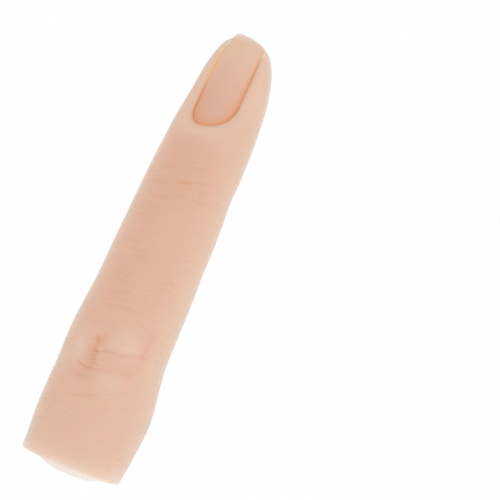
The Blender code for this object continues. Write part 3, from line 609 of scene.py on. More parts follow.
def line_up_with_window(points, nail):
    """Slides the skin's points over its own form until the rows and columns follow the window."""
    across, along, _ = to_nail(points)
    middle_row = np.argmin(np.abs(along[:, COLUMNS // 2] - NAIL_LENGTH / 2))
    column = np.abs(across[middle_row])[None, :] + 0 * across
    row = along[:, COLUMNS // 2][:, None] + 0 * along
    side = np.sign(across[middle_row])[None, :] + 0 * across
    for half in (column[middle_row, :COLUMNS // 2], column[middle_row, COLUMNS // 2:]):
        half -= nearest_to(half, WINDOW_HALF) * bell(half - WINDOW_HALF, MM)
    column = column[middle_row][None, :] + 0 * across
    row = row - nearest_to(row[:, 0], WINDOW_START) * bell(row - WINDOW_START, MM)
    row = row - WINDOW_START
    back = np.maximum(WINDOW_HALF - row, 0)
    beyond = np.maximum(column, back) - WINDOW_HALF
    flank = column >= back
    turn = np.where(
        flank,
        math.pi / 4 * back / np.maximum(column, LEAST),
        math.pi / 2 - math.pi / 4 * column / np.maximum(back, LEAST),
    )
    reach = cap_reach(side, turn, nail)
    spread = np.where(beyond > 0, reach + beyond, reach * (1 + beyond / WINDOW_HALF))
    cap_across, cap_along = np.cos(turn) * spread, CAP_ALONG - np.sin(turn) * spread
    stretch = (NAIL_LENGTH - CAP_ALONG) / (NAIL_LENGTH - WINDOW_START - WINDOW_HALF)
    side_along = CAP_ALONG + (row - WINDOW_HALF) * stretch
    half = window_half(side, side_along)
    side_across = np.where(beyond > 0, half + beyond, half * (1 + beyond / WINDOW_HALF))
    in_cap = back > 0
    new_across = np.where(in_cap, cap_across, side_across) * side
    new_along = np.where(in_cap, cap_along, side_along)
    new_along = new_along + window_skew(new_across, new_along, nail)
    weight = 1 - step(*PULL_FADE, beyond)
    weight *= step(*PULL_ENDS, NAIL_LENGTH - row)
    moved = weight > 0
    across, along = mix(across, new_across, weight)[moved], mix(along, new_along, weight)[moved]
    points[moved] = on_form(across, along)


def on_form(across, along):
    """The point of the finger's form above a place on the nail, found by halving."""
    low, high = np.full(across.shape, -NAIL_RADIUS / 2), np.full(across.shape, NAIL_RADIUS)
    for _ in range(26):
        rise = (low + high) / 2
        points = from_nail(across, along, rise)
        half_width, aside, middle, half_height, square = section(points[:, 1])
        wide = np.abs(points[:, 0] - aside) / np.maximum(half_width, LEAST)
        tall = np.abs(points[:, 2] - middle) / np.maximum(half_height, LEAST)
        outside = wide**square + tall**square > 1
        low, high = np.where(outside, low, rise), np.where(outside, rise, high)
    return from_nail(across, along, (low + high) / 2)


def open_window(points, nail):
    """Rolls the skin down to the nail, back under its own lip, and along the floor of the slot."""
    across, along, rise = to_nail(points)
    distance, outwards, backwards = window_distance(across, along, nail)
    near = (rise > -NAIL_RADIUS / 2) & (along > -nail.fold_reach * 2)
    near &= np.abs(across) < FINGER_WIDTH / 2
    floor = -mix(nail.slot_depth, nail.mouth_depth, step(0, MOUTH_STEP, along - BED_END))
    present = step(*LIP_RISES, rise)
    beside = step(*FOLD_ENDS, NAIL_LENGTH - along) * step(*FOLD_RISES, rise)

    # From the lip's edge out to where the fold begins
    lip = np.minimum(nail.lip_gap, rise)
    roll = np.clip((distance - LIP_EDGE) / nail.fold_reach, 0, 1)
    shoulder = (1 - (1 - roll) ** nail.fold_round) ** (1 / nail.fold_round)
    low = mix(mix(lip, nail.lip_gap, beside), rise, step(0, 1, roll))
    rolled = np.where(rise < nail.lip_gap, low, mix(lip, rise, shoulder))

    # From the lip's edge back under it, and across the floor
    inside = np.maximum(-distance, 0)
    undercut = SLOT_HALF - window_half(across, along)
    new_distance = mix(distance, np.interp(inside, LIP_WAY, LIP_OUT_SHARES) * undercut, present)
    lip_share = 1 - step(LIP_WAY[1], LIP_WAY[2], inside)
    new_rise = nail.lip_gap * lip_share + floor * np.interp(inside, LIP_WAY, LIP_SINK_SHARES)
    low = mix(np.minimum(rise, floor), floor, beside)
    new_rise = mix(low, np.minimum(new_rise, rise), present)

    inner = near & (distance < -LIP_EDGE)
    outer = near & (distance >= -LIP_EDGE) & (distance < nail.fold_reach + LIP_EDGE)
    shift = np.where(inner, new_distance - distance, 0)
    rise = np.where(inner, new_rise, np.where(outer, rolled, rise))
    changed = inner | outer
    points[changed] = from_nail(across + shift * outwards, along + shift * backwards, rise)[changed]
    return np.where(near, distance, FINGER_WIDTH)


def sink_under_slot(points):
    """Lowers the inner wall of the skin where it would show in the nail's slot."""
    across, along, rise = to_nail(points)
    under = (np.abs(across) < SLOT_HALF + SLOT_BESIDE) & (rise > -NAIL_RADIUS / 2)
    under &= along > -NAIL_HIDDEN - SLOT_BEHIND
    depth = bpy.context.scene.finger_nail.slot_depth + SLOT_WALL
    points[under] = from_nail(across, along, np.minimum(rise, -depth))[under]


# Meshes


def closed_sheet(name, places, masks):
    """A grid, wrapped by moving each of its points; where points meet, they merge."""
    rows, columns = places.shape[:2]
    bpy.ops.object.select_all(action="DESELECT")
    bpy.ops.mesh.primitive_grid_add(x_subdivisions=columns - 1, y_subdivisions=rows - 1, size=1)
    piece = bpy.context.object
    piece.name = piece.data.name = name
    mesh = piece.data
    flat = np.empty(len(mesh.vertices) * 3, np.float32)
    mesh.vertices.foreach_get("co", flat)
    flat = flat.reshape(-1, 3)
    column = np.rint((flat[:, 0] + 0.5) * (columns - 1)).astype(int)
    row = np.rint((flat[:, 1] + 0.5) * (rows - 1)).astype(int)
    mesh.vertices.foreach_set("co", places[row, column].astype(np.float32).ravel())
    for mask, values in masks.items():
        attribute = mesh.attributes.new(mask, "FLOAT", "POINT")
        attribute.data.foreach_set("value", np.clip(values, 0, 1)[row, column].astype(np.float32))
    bpy.ops.object.mode_set(mode="EDIT")
    bpy.ops.mesh.select_all(action="SELECT")
    bpy.ops.mesh.remove_doubles(threshold=MERGE_REACH)
    bpy.ops.mesh.normals_make_consistent(inside=False)
    bpy.ops.object.mode_set(mode="OBJECT")
    bpy.ops.object.shade_smooth_by_angle(angle=SHARP_ANGLE)
    return piece


def steps_between(start, end, length):
    """Places from start to end, both counted, about length apart."""
    return np.linspace(start, end, max(2, math.ceil(abs(end - start) / length) + 1))


def quarter_turn(count):
    """Angles from 0 to a quarter turn."""
    return np.linspace(0, math.pi / 2, count)


def column_angles():
    """Angles round the finger, closer together on its back; the last falls on the first."""
    turn = np.linspace(-math.pi, math.pi, COLUMNS + 1)
    return turn - BACK_DENSITY_SHARE * np.sin(turn)


def grid_normals(points):
    """Outward normals of a tube of points, from its neighbours in both directions."""
    ahead = np.gradient(points, axis=0)
    ring = points[:, :-1]
    round_about = (np.roll(ring, -1, axis=1) - np.roll(ring, 1, axis=1)) / 2
    round_about = np.concatenate([round_about, round_about[:, :1]], axis=1)
    normals = np.cross(ahead, round_about)
    length = np.linalg.norm(normals, axis=-1, keepdims=True)
    return -normals / np.maximum(length, 1e-12)


def outer_skin(y, skin):
    """The outer face of the skin in rows along y, with its relief, and the masks that colour it,
    painted light and shade among them.
    """
    points = surface(column_angles()[None, :], y[:, None])
    nail = bpy.context.scene.finger_nail
    distance = np.full(points.shape[:-1], FINGER_WIDTH)
    in_front = y[-1] > NAIL_ORIGIN.y
    if in_front:
        line_up_with_window(points, nail)
    relief = skin_relief(points, skin)
    normals = grid_normals(points)
    calm = 1.0
    if in_front:
        calm = step(*CALM_BY_NAIL, window_distance(*to_nail(points)[:2], nail)[0])
    points += normals * (relief.height * calm)[..., None]
    lay_on_table(points)
    if in_front:
        distance = open_window(points, nail)
    points[:, -1] = points[:, 0]
    across, along, rise = to_nail(points)
    amber, fade = amber_share(across, along), groove_fade(across, along)
    beside_nail = step(*COLOUR_RISES, rise)
    spread = np.where(distance > 0, GROOVE_OUT + AMBER_OUT * amber, GROOVE_IN)
    # Painted shade in the groove along the window's edge, orange as light through the thin fold
    groove = bell(distance, spread) * fade * beside_nail
    # Painted light that fills the shade in the gaps beside the nail's front
    crevice_light = bell(distance, CREVICE_REACH) * (1 - fade) * beside_nail
    masks = {
        # Painted shade in creases and wrinkles
        "tint": relief.tint,
        # Blush, and painted shade down the left of the back
        "blush": relief.blush,
        # Paler skin, with painted light on both sides
        "pale": relief.pale,
        # Paler at the base end, a painted highlight on its cut edge, and painted light in the gaps
        # at the nail's front
        "milky": relief.milky + 0.75 * crevice_light,
        "groove": groove * (1 - amber),
        # Lighter painted shade where the fold's wall is lit, and painted light in the gaps at the
        # nail's front
        "amber": groove * amber + 0.25 * crevice_light,
        # A painted highlight on the fold beside the nail
        "rim": bell(distance - RIM_AWAY, RIM_REACH) * beside_nail,
        # Painted light where the two skins meet, making up for the light lost there
        "seam": np.exp(-np.abs(points[..., 1] - SEAM_Y) / SEAM_REACH),
    }
    return points, masks


def bulge(points):
    """How far the cut base end stands out: more towards the finger's back, not at its underside."""
    fade = 1 - step(0, END_BULGE_REACH, points[..., 1] - BASE_Y)
    return END_BULGE * fade * (points[..., 2] / FINGER_DEPTH) ** 2


def shell_piece(name, inner, outer_y, closed, skin):
    """Rows of the inner wall, then the outer face, as one closed sheet."""
    rows = [surface(column_angles(), np.float64(y), inset) for y, inset in inner]
    for points, (y, inset) in zip(rows, inner):
        if y < BASE_Y + PLUG_REACH + SHELL / 2:
            points[:, 0] += PLUG_ASIDE * min(1.0, inset / END_WALL)
    outer, masks = outer_skin(outer_y, skin)
    wall = np.stack(rows)
    sink_under_slot(wall)
    lay_on_table(wall)
    wall[:, -1] = wall[:, 0]
    for points in (wall, outer):
        points[..., 1] -= bulge(points)
    again = 1 if closed else 0
    filled = {}
    for mask, values in masks.items():
        head = np.repeat(values[:1], len(wall), axis=0)
        filled[mask] = np.concatenate([head, values, head[:again]])
    return closed_sheet(name, np.concatenate([wall, outer, wall[:again]]), filled)


def make_rear_skin(skin):
    """From the base end over the near knuckle to half way along the middle section."""
    inner = [(y, SHELL) for y in steps_between(SEAM_Y, BASE_Y + PLUG_REACH + SHELL, BORE_STEP)]
    inner += [(y, END_WALL) for y in steps_between(BASE_Y + PLUG_REACH, BASE_Y, BORE_STEP)]
    inner += [(BASE_Y, inset) for inset in np.linspace(END_WALL, EDGE_ROUND, WALL_ROWS)[1:]]
    for turn in quarter_turn(EDGE_ROWS)[1:-1]:
        lift = EDGE_ROUND * (1 - math.cos(turn))
        inner.append((BASE_Y + lift, EDGE_ROUND * (1 - math.sin(turn))))
    outer_y = steps_between(BASE_Y + EDGE_ROUND, SEAM_Y, REAR_ROW_STEP)
    return shell_piece("rear_skin", inner, outer_y, True, skin)


def make_front_skin(skin):
    """From half way along the middle section over the far knuckle to the tip, round the nail."""
    inner = [(BORE_END_Y, FINGER_WIDTH), (BORE_END_Y, END_WALL * 1.5)]
    inner += [(y, END_WALL) for y in steps_between(BORE_END_Y, BORE_NARROW_Y + SHELL, BORE_STEP)]
    inner += [(y, SHELL) for y in steps_between(BORE_NARROW_Y, SEAM_Y, BORE_STEP)]
    straight = steps_between(SEAM_Y, TIP_START_Y, ROW_STEP)
    reach = TIP_Y - TIP_START_Y
    turns = quarter_turn(math.ceil(reach * TIP_ROW_SHARE / ROW_STEP))[1:]
    outer_y = np.concatenate([straight, TIP_START_Y + reach * np.sin(turns)])
    return shell_piece("front_skin", inner, outer_y, False, skin)


def nail_rows(nail):
    """Along the nail: each section's place, middle, half width and half thickness."""
    half_thickness = NAIL_THICKNESS / 2
    rows = []
    for turn in quarter_turn(CAP_ROWS):
        share = math.sin(turn)
        along = WINDOW_DEPTH * (1 - math.cos(turn)) - NAIL_HIDDEN
        rows.append((along, share, min(1.0, share * 3)))
    for along in np.linspace(rows[-1][0], NAIL_LENGTH - LEFT_CORNER, SIDE_ROWS)[1:]:
        rows.append((along, 1.0, 1.0))
    for turn in quarter_turn(CORNER_ROWS)[1:]:
        from_end = LEFT_CORNER * (1 - math.sin(turn))
        blunt = min(1.0, from_end / half_thickness)
        rows.append((NAIL_LENGTH - from_end, 1.0, math.sqrt(max(0.0, 1 - (1 - blunt) ** 2))))
    for along, width_share, thickness_share in rows:
        draw = max(0.0, (along - CAP_ALONG) / (NAIL_LENGTH - CAP_ALONG))
        left = nail.left_draw * draw**LEFT_DRAW_POWER + left_inset(NAIL_LENGTH - along)
        right = nail.right_draw * draw + corner_inset(NAIL_LENGTH - along, nail.right_corner)
        half_width = (nail.half_width - (left + right) / 2) * width_share
        yield along, nail.aside + (left - right) / 2, half_width, half_thickness * thickness_share


def make_nail_plate(nail):
    """A curved plate with rounded edges all round and faint ridges along it."""
    top = np.linspace(-1, 1, PLATE_COLUMNS)
    turns = np.linspace(math.pi / 2, -math.pi / 2, PLATE_EDGE_COLUMNS)[1:-1]
    upper = np.concatenate([np.ones(len(top)), np.sin(turns)])
    rows = []
    for along, middle, half_width, half_thickness in nail_rows(nail):
        edge = min(nail.edge_round, half_width)
        flat = half_width - edge
        across = np.concatenate([top * flat, flat + edge * np.cos(turns)])
        across = np.concatenate([across, -across, across[:1]])
        rise = half_thickness * np.concatenate([upper, -upper, upper[:1]])
        waver = 2 * np.sin(across / MM * RIDGE_WAVES_PER_MM)
        ridges = np.sin(across / nail.ridge_spacing * math.tau + waver)
        rise = rise + np.where(rise > 0, nail.ridge_height * ridges, 0)
        bow = nail.edge_bow * (0.3 - (across / nail.half_width) ** 2) * step(0, NAIL_LENGTH, along)
        lean = nail.edge_skew * across * step(NAIL_LENGTH * 0.4, NAIL_LENGTH, along)
        rows.append(from_nail(across + middle, along + bow + lean, rise - NAIL_THICKNESS / 2))
    places = np.stack(rows)
    across, along, _ = to_nail(places)
    inside = np.minimum(window_distance(across, along, nail)[0], 0)
    # Painted shade along the plate's edges under the folds, lighter towards the left front where
    # the fold's wall is lit
    rim = bell(inside, NAIL_RIM_REACH) * groove_fade(across, along)
    amber = amber_share(across, along)
    # Painted shade on the plate's root, under the cuticle's fold
    cuticle = bell(inside, GROOVE_IN) * (1 - step(*CUTICLE_END, along))
    masks = {"rim": rim * (1 - amber), "amber": rim * amber, "cuticle": cuticle}
    return closed_sheet("nail_plate", places, masks)


def make_plug_dome(plug):
    """The pale plug in the base end, a shallow dome with a rounded rim."""
    rim = surface(column_angles(), np.float64(BASE_Y), END_WALL + plug.gap)
    rim[-1] = rim[0]
    rim[:, 0] += PLUG_ASIDE
    _, aside, middle, half_height, _ = section(np.float64(BASE_Y))
    centre = np.array([aside + PLUG_ASIDE, BASE_Y, middle])
    rim_share = plug.rim_round / (half_height - END_WALL)
    flat_share = 1 - rim_share
    profile = [(plug.depth, 0.0), (plug.depth, flat_share), (plug.depth - plug.rim_round, 1.0)]
    for depth in steps_between(plug.depth - plug.rim_round * 2, plug.rim_round, MM / 2):
        profile.append((depth, 1.0))
    for turn in quarter_turn(RIM_ROWS)[1:]:
        share = 1 - rim_share * (1 - math.cos(turn))
        profile.append((plug.rim_round * (1 - math.sin(turn)), share))
    for share in np.linspace(flat_share, 0, DOME_ROWS)[1:]:
        full = share / flat_share
        profile.append((-plug.dome * (1 - full**plug.dome_power), share))
    depths, shares = np.array(profile).T[..., None]
    places = centre + (rim - centre) * shares[..., None]
    places[..., 1] += depths
    places[..., 1] -= bulge(places)
    # A painted highlight round the plug's rim
    rim_highlight = bell(shares - 1, PLUG_RIM_REACH) + np.zeros(places.shape[:-1])
    return closed_sheet("plug_dome", places, {"rim": rim_highlight})


# Materials


class Field:
    """A shader socket that can be used in sums as a number is."""

    def __init__(self, nodes, socket):
        self.nodes = nodes
        self.socket = socket

    def maths(self, operation, first, second):
        return self.nodes.node("ShaderNodeMath", {"operation": operation}, {0: first, 1: second})

    def __add__(self, other):
        return self.maths("ADD", self, other)

    def __sub__(self, other):
        return self.maths("SUBTRACT", self, other)

    def __mul__(self, other):
        return self.maths("MULTIPLY", self, other)

    def __truediv__(self, other):
        return self.maths("DIVIDE", self, other)

    __radd__ = __add__
    __rmul__ = __mul__


class Nodes:
    """The nodes of one material or world."""

    def __init__(self, tree):
        self.tree = tree

    def node(self, kind, settings=None, inputs=None, output=0):
        """Adds a node, sets it, feeds its sockets with values or links, and gives one output."""
        node = self.tree.nodes.new(kind)
        for key, value in (settings or {}).items():
            if key == "stops":
                self.set_stops(node.color_ramp.elements, value)
            else:
                setattr(node, key, value)
        for key, value in (inputs or {}).items():
            if isinstance(value, Field):
                self.link(value, node.inputs[key])
            else:
                node.inputs[key].default_value = value
        return Field(self, node.outputs[output])

    def link(self, field, socket):
        self.tree.links.new(field.socket, socket)

    @staticmethod
    def set_stops(elements, stops):
        while len(elements) < len(stops):
            elements.new(1.0)
        for element, (place, colour) in zip(elements, stops):
            element.position = place
            element.color = (*colour, 1.0)

    def seen(self):
        """1 where the camera itself looks, 0 where light does."""
        return self.node("ShaderNodeLightPath", output="Is Camera Ray")


class Finish(Nodes):
    """One material: its Principled shader and the nodes that feed it."""

    def __init__(self, name, constants):
        self.material = bpy.data.materials.new(name)
        self.material.use_nodes = True
        super().__init__(self.material.node_tree)
        self.shader = self.tree.nodes["Principled BSDF"]
        for socket, value in constants.items():
            self.shader.inputs[socket].default_value = value

    def coordinates(self):
        return self.node("ShaderNodeTexCoord", output="Object")

    def mask(self, name):
        return self.node("ShaderNodeAttribute", {"attribute_name": name}, output="Fac")

    def noise(self, scale, detail=2.0, stretch=(1.0, 1.0, 1.0)):
        """Random hills from 0 to 1, about as many to the metre as scale."""
        inputs = {"Vector": self.coordinates(), "Scale": stretch}
        place = self.node("ShaderNodeMapping", None, inputs)
        inputs = {"Vector": place, "Scale": scale, "Detail": detail}
        return self.node("ShaderNodeTexNoise", None, inputs)

    def between(self, low, high, value):
        """0 where value is low, 1 where it is high."""
        inputs = {"Value": value, "From Min": low, "From Max": high}
        return self.node("ShaderNodeMapRange", {"interpolation_type": "SMOOTHSTEP"}, inputs)

    def blend(self, first, second, share):
        """Mixes two colours, the first of them a setting or a field and the second a setting."""
        first = first if isinstance(first, Field) else (*first, 1.0)
        inputs = {0: share, 6: first, 7: (*second, 1.0)}
        return self.node("ShaderNodeMix", {"data_type": "RGBA"}, inputs, 2)

    def bump(self, height, distance, under=None):
        inputs = {"Height": height, "Distance": distance, "Strength": 1.0}
        if under:
            inputs["Normal"] = under
        return self.node("ShaderNodeBump", None, inputs)

    def feed(self, **fields):
        """Links fields to the shader; an underscore stands for the blank in a socket's name."""
        for name, field in fields.items():
            self.link(field, self.shader.inputs[name.replace("_", " ")])

    def put_on(self, piece):
        piece.data.materials.clear()
        piece.data.materials.append(self.material)


SILICONE = {
    "Subsurface Weight": 0.25,
    "Subsurface Radius": (1.0, 0.42, 0.24),
    "Subsurface Scale": 0.9 * MM,
    "IOR": 1.41,
    "Specular IOR Level": 0.35,
    "Sheen Weight": 0.9,
    "Sheen Roughness": 0.3,
}


def skin_finish(colours):
    """Matte silicone, mottled tan and pink, redder on the knuckles, with painted shade in its
    creases and round the nail and painted light on its sides, beside the nail and at the seam.
    """
    finish = Finish("skin_silicone", SILICONE)
    mottle = finish.between(0.35, 0.65, finish.noise(170, 3)) * 0.55
    colour = finish.blend(colours.skin, colours.skin_pink, mottle)
    # Blush, and painted shade down the left of the back
    colour = finish.blend(colour, colours.blush, finish.mask("blush"))
    # Paler skin, with painted light on both sides
    colour = finish.blend(colour, colours.skin_pale_and_lit, finish.mask("pale"))
    # Paler at the base end, with a painted highlight on its cut edge and painted light in the gaps
    # at the nail's front
    colour = finish.blend(colour, colours.skin_end_and_light, finish.mask("milky"))
    # A painted highlight on the fold beside the nail
    colour = finish.blend(colour, colours.skin_pale_and_lit, finish.mask("rim") * 0.5)
    # Painted shade in creases and wrinkles
    colour = finish.blend(colour, colours.crease, finish.mask("tint"))
    # Painted shade in the groove round the nail
    colour = finish.blend(colour, colours.groove, finish.mask("groove"))
    # Lighter painted shade where the fold's wall is lit, and painted light in the gaps at the
    # nail's front
    colour = finish.blend(colour, colours.amber, finish.mask("amber"))
    # Painted light where the two skins meet
    colour = finish.blend(colour, colours.seam, finish.mask("seam") * 0.17)
    roughness = 0.50 + finish.noise(900) * 0.12
    inputs = {"Vector": finish.coordinates(), "Scale": 2600.0}
    cells = finish.node("ShaderNodeTexVoronoi", {"feature": "DISTANCE_TO_EDGE"}, inputs)
    coarse = finish.bump(finish.between(0.0, 0.25, cells), 0.012 * MM)
    fine = finish.bump(finish.noise(5200), 0.010 * MM, coarse)
    finish.feed(Base_Color=colour, Roughness=roughness, Normal=fine)
    return finish


def nail_finish(colours):
    """Satin plastic, pink towards the cuticle and pale at the free edge, with painted shade along
    its edges and at its root.
    """
    constants = {"IOR": 1.46, "Subsurface Weight": 0.15, "Subsurface Scale": 0.5 * MM}
    finish = Finish("nail_plate", constants)
    y = finish.node("ShaderNodeSeparateXYZ", None, {0: finish.coordinates()}, 1)
    stops = [
        (0.0, colours.nail_root),
        (0.45, colours.nail),
        (0.80, colours.nail_front),
        (0.92, colours.nail_front),
        (1.0, colours.nail_edge),
    ]
    place = (y - NAIL_ORIGIN.y) / NAIL_LENGTH
    colour = finish.node("ShaderNodeValToRGB", {"stops": stops}, {0: place})
    cloud = finish.between(0.3, 0.7, finish.noise(260, stretch=(1, 0.4, 1))) * 0.25
    colour = finish.blend(colour, colours.nail_root, cloud)
    # Painted shade on the plate's root
    colour = finish.blend(colour, colours.crease, finish.mask("cuticle") * 0.5)
    # Painted shade along the plate's edges under the folds
    colour = finish.blend(colour, colours.groove, finish.mask("rim") * 0.8)
    # Lighter painted shade where the fold's wall is lit
    colour = finish.blend(colour, colours.amber, finish.mask("amber") * 0.8)
    roughness = 0.36 + finish.noise(1500) * 0.08
    grain = finish.bump(finish.noise(2600, stretch=(3, 0.2, 3)), 0.004 * MM)
    finish.feed(Base_Color=colour, Roughness=roughness, Normal=grain)
    return finish


def plug_finish(colours):
    """Milky silicone, nearly white, with a painted highlight on its rim."""
    finish = Finish("plug_silicone", {**SILICONE, "Subsurface Weight": 0.2})
    cloud = finish.between(0.35, 0.65, finish.noise(240)) * 0.5
    colour = finish.blend(colours.plug, colours.plug_warm, cloud)
    # A painted highlight round the rim
    colour = finish.blend(colour, colours.plug_rim_highlight, finish.mask("rim"))
    roughness = 0.42 + finish.noise(900) * 0.1
    grain = finish.bump(finish.noise(3000), 0.006 * MM)
    finish.feed(Base_Color=colour, Roughness=roughness, Normal=grain)
    return finish


def plain_finish(name, colour, roughness, metallic=0.0):
    """A procedural finish for a part of the skeleton: an even colour, slightly worn and grained."""
    finish = Finish(name, {"Metallic": metallic})
    worn = finish.between(0.35, 0.7, finish.noise(420, 3))
    colour = finish.blend(colour, [part * 0.9 for part in colour], worn)
    roughness = roughness + finish.noise(1300) * 0.15
    grain = finish.bump(finish.noise(4200, 3), 0.005 * MM)
    finish.feed(Base_Color=colour, Roughness=roughness, Normal=grain)
    return finish


# Settings


def share_setting(name, description, default):
    return FloatProperty(name=name, description=description, default=default)


def length_setting(name, description, millimetres):
    length = millimetres * MM
    return FloatProperty(name=name, description=description, default=length, unit="LENGTH")


def angle_setting(name, description, degrees):
    angle = math.radians(degrees)
    return FloatProperty(
        name=name, description=description, default=angle, subtype="ANGLE", unit="ROTATION"
    )


def colour_setting(name, description, *screen):
    colour = paint(*screen)
    return FloatVectorProperty(
        name=name, description=description, default=colour, subtype="COLOR", size=3, min=0, max=1
    )


class SkinSettings(PropertyGroup):
    """Sizes of the silicone skin's relief, and how much light is painted on its sides as paler
    skin.
    """

    wrinkle_spacing: length_setting(
        "Wrinkle spacing", "From one fine line across the finger to the next", 0.78
    )
    wrinkle_depth: length_setting("Wrinkle depth", "How deep the fine lines are", 0.055)
    # Painted light round the sides, as paler skin
    right_side_light: share_setting("Right pale", "How pale the skin gets round its right side", 0.68)
    left_side_light: share_setting("Left pale", "How pale the skin gets round its left side", 0.9)


class NailSettings(PropertyGroup):
    """Sizes of the nail plate and of the skin's window round it."""

    half_width: length_setting(
        "Half width", "Half the width of the plate, with the part that the folds cover", 4.1
    )
    aside: length_setting("Aside", "How far the middle of the plate lies to the right", -0.08)
    left_draw: length_setting(
        "Left draw", "How far the plate's left side draws in towards the free edge", 1.08
    )
    right_draw: length_setting(
        "Right draw", "How far the plate's right side draws in towards the free edge", 0.12
    )
    right_corner: length_setting("Right corner", "Radius of the free edge's right corner", 0.8)
    edge_round: length_setting("Edge", "How far in from its sides the plate is rounded", 0.16)
    ridge_spacing: length_setting(
        "Ridge spacing", "From one ridge along the plate to the next", 0.9
    )
    ridge_height: length_setting("Ridge height", "Height of the ridges", 0.006)
    edge_bow: length_setting("Edge bow", "How far the free edge's middle stands out", 0.4)
    edge_skew: share_setting("Edge skew", "Slope of the free edge across the finger", -0.14)
    cuticle_skew: share_setting(
        "Cuticle skew", "Slope of the cuticle's line across the finger", 0.36
    )
    cuticle_left_square: share_setting(
        "Cuticle squareness, left", "2 is an ellipse, and more is squarer", 2.15
    )
    cuticle_right_square: share_setting(
        "Cuticle squareness, right", "2 is an ellipse, and more is squarer", 2.5
    )
    fold_reach: length_setting(
        "Fold reach", "How far from the nail the skin starts to roll down to it", 2.1
    )
    fold_round: share_setting(
        "Fold roundness", "2 rolls down in a quarter circle, and less is gentler", 1.7
    )
    lip_gap: length_setting("Lip gap", "Gap between the skin's lip and the nail", 0.01)
    slot_depth: length_setting(
        "Slot depth", "From the nail's face to the floor of its slot", 1.35
    )
    mouth_depth: length_setting(
        "Mouth depth", "From the nail's face to the floor of its slot in front of the bed", 1.02
    )


class PlugSettings(PropertyGroup):
    """Sizes of the plug in the base end."""

    depth: length_setting("Depth", "How far the plug reaches in", 1.5)
    dome: length_setting("Dome", "How far its middle stands out", 1.58)
    dome_power: share_setting(
        "Dome power", "2 is an even dome, and more is flatter in the middle", 3.0
    )
    rim_round: length_setting("Rim", "Radius of the rim", 0.3)
    gap: length_setting("Gap", "Between the plug and the skin", 0.03)


class ColourSettings(PropertyGroup):
    """Colours of the finger, as they look on screen."""

    skin: colour_setting("Skin", "Most of the skin", 227, 189, 165)
    skin_pink: colour_setting("Pink skin", "The pinker half of its mottling", 226, 184, 162)
    # Paler skin on raised spots and the fingertip's front, with painted light on both sides and a
    # painted highlight on the nail's folds
    skin_pale_and_lit: colour_setting("Pale skin", "Raised spots and the nail's folds", 231, 200, 180)
    # Paler skin at the base end, also a painted highlight on its cut edge and painted light in the
    # gaps at the nail's front
    skin_end_and_light: colour_setting("Base end", "Milky skin at the base end", 250, 237, 226)
    # Red patches on the knuckles, and painted shade down the left of the back
    blush: colour_setting("Blush", "Red patches on the knuckles", 222, 168, 142)
    # Painted shade at the bottom of creases, and on the nail's root
    crease: colour_setting("Crease", "The bottom of creases", 220, 158, 114)
    # Painted shade in the groove round the nail
    groove: colour_setting("Nail groove", "The line round the nail", 231, 157, 103)
    # Lighter painted shade in the groove, where the fold's wall is lit
    amber: colour_setting(
        "Amber groove", "The line along the front of the nail's left side", 243, 192, 148
    )
    # Painted light where the two skins meet
    seam: colour_setting(
        "Seam", "Makes up for the light lost where the two skins meet", 254, 187, 160
    )
    nail_root: colour_setting("Nail root", "The nail near the cuticle", 221, 172, 150)
    nail: colour_setting("Nail", "The middle of the nail", 224, 179, 156)
    nail_front: colour_setting("Nail front", "The nail towards the free edge", 226, 191, 165)
    nail_edge: colour_setting("Nail edge", "The free edge", 234, 211, 191)
    plug: colour_setting("Plug", "The plug in the base end", 245, 231, 223)
    plug_warm: colour_setting("Warm plug", "The warmer half of its mottling", 244, 227, 218)
    # A painted highlight on the plug's edge
    plug_rim_highlight: colour_setting("Plug rim", "The plug's edge", 253, 245, 243)
    bone: colour_setting("Skeleton", "The three cores", 214, 210, 200)
    steel: colour_setting("Steel", "The rivets", 190, 192, 196)
    washer: colour_setting("Washer", "The friction washers", 232, 232, 228)
    bed: colour_setting("Bed", "The firm bed under the nail", 226, 176, 154)


class StageSettings(PropertyGroup):
    """The camera and the light."""

    sky: share_setting("Sky", "Strength of the even light all round", 0.95)
    lamp: share_setting("Lamp", "Strength of the soft light on the right", 0.3)
    floor_drop: length_setting(
        "Floor drop",
        "How far the floor lies below, so that the finger can bend in sight",
        (MIDDLE_LENGTH + TIP_LENGTH) / MM,
    )
    roll: angle_setting("Roll", "How far the camera stands to the finger's right", 13.5)
    tilt: angle_setting("Tilt", "How far the camera stands towards the fingertip", -1.4)
    lean: angle_setting("Lean", "How far the finger leans to the right in the picture", 22.65)
    distance: length_setting("Distance", "From the camera to the finger", 500)
    view_width: length_setting("View width", "Width of the picture at the finger", 84.8)


# The picture is this many pixels wide. Its middle lies these many to the right of the finger's
# middle and above it
PICTURE_PIXELS = 500
AIM_RIGHT, AIM_UP = 91.8, 4.1

FLOOR_SIZE = 4.0
FLOOR_LOOK = {"Base Color": (0.9, 0.9, 0.9, 1.0), "Roughness": 0.9}
FLOOR_GLOW_SHARE = 0.97
LAMP_FROM = Vector((0.85, -0.3, 0.55))
LAMP_SPREAD = math.radians(60)


# Operators


class FINGER_OT_rear_skin(Operator):
    """Model the skin from the base end to the middle section"""

    bl_idname = "finger.rear_skin"
    bl_label = "Rear skin"

    def execute(self, context):
        piece = make_rear_skin(context.scene.finger_skin)
        skin_finish(context.scene.finger_colours).put_on(piece)
        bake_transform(piece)
        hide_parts("base_skin", "pip_fold")
        return {"FINISHED"}


class FINGER_OT_front_skin(Operator):
    """Model the skin from the middle section to the fingertip"""

    bl_idname = "finger.front_skin"
    bl_label = "Front skin"

    def execute(self, context):
        piece = make_front_skin(context.scene.finger_skin)
        skin_finish(context.scene.finger_colours).put_on(piece)
        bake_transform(piece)
        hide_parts("middle_skin", "tip_skin", "dip_fold")
        return {"FINISHED"}


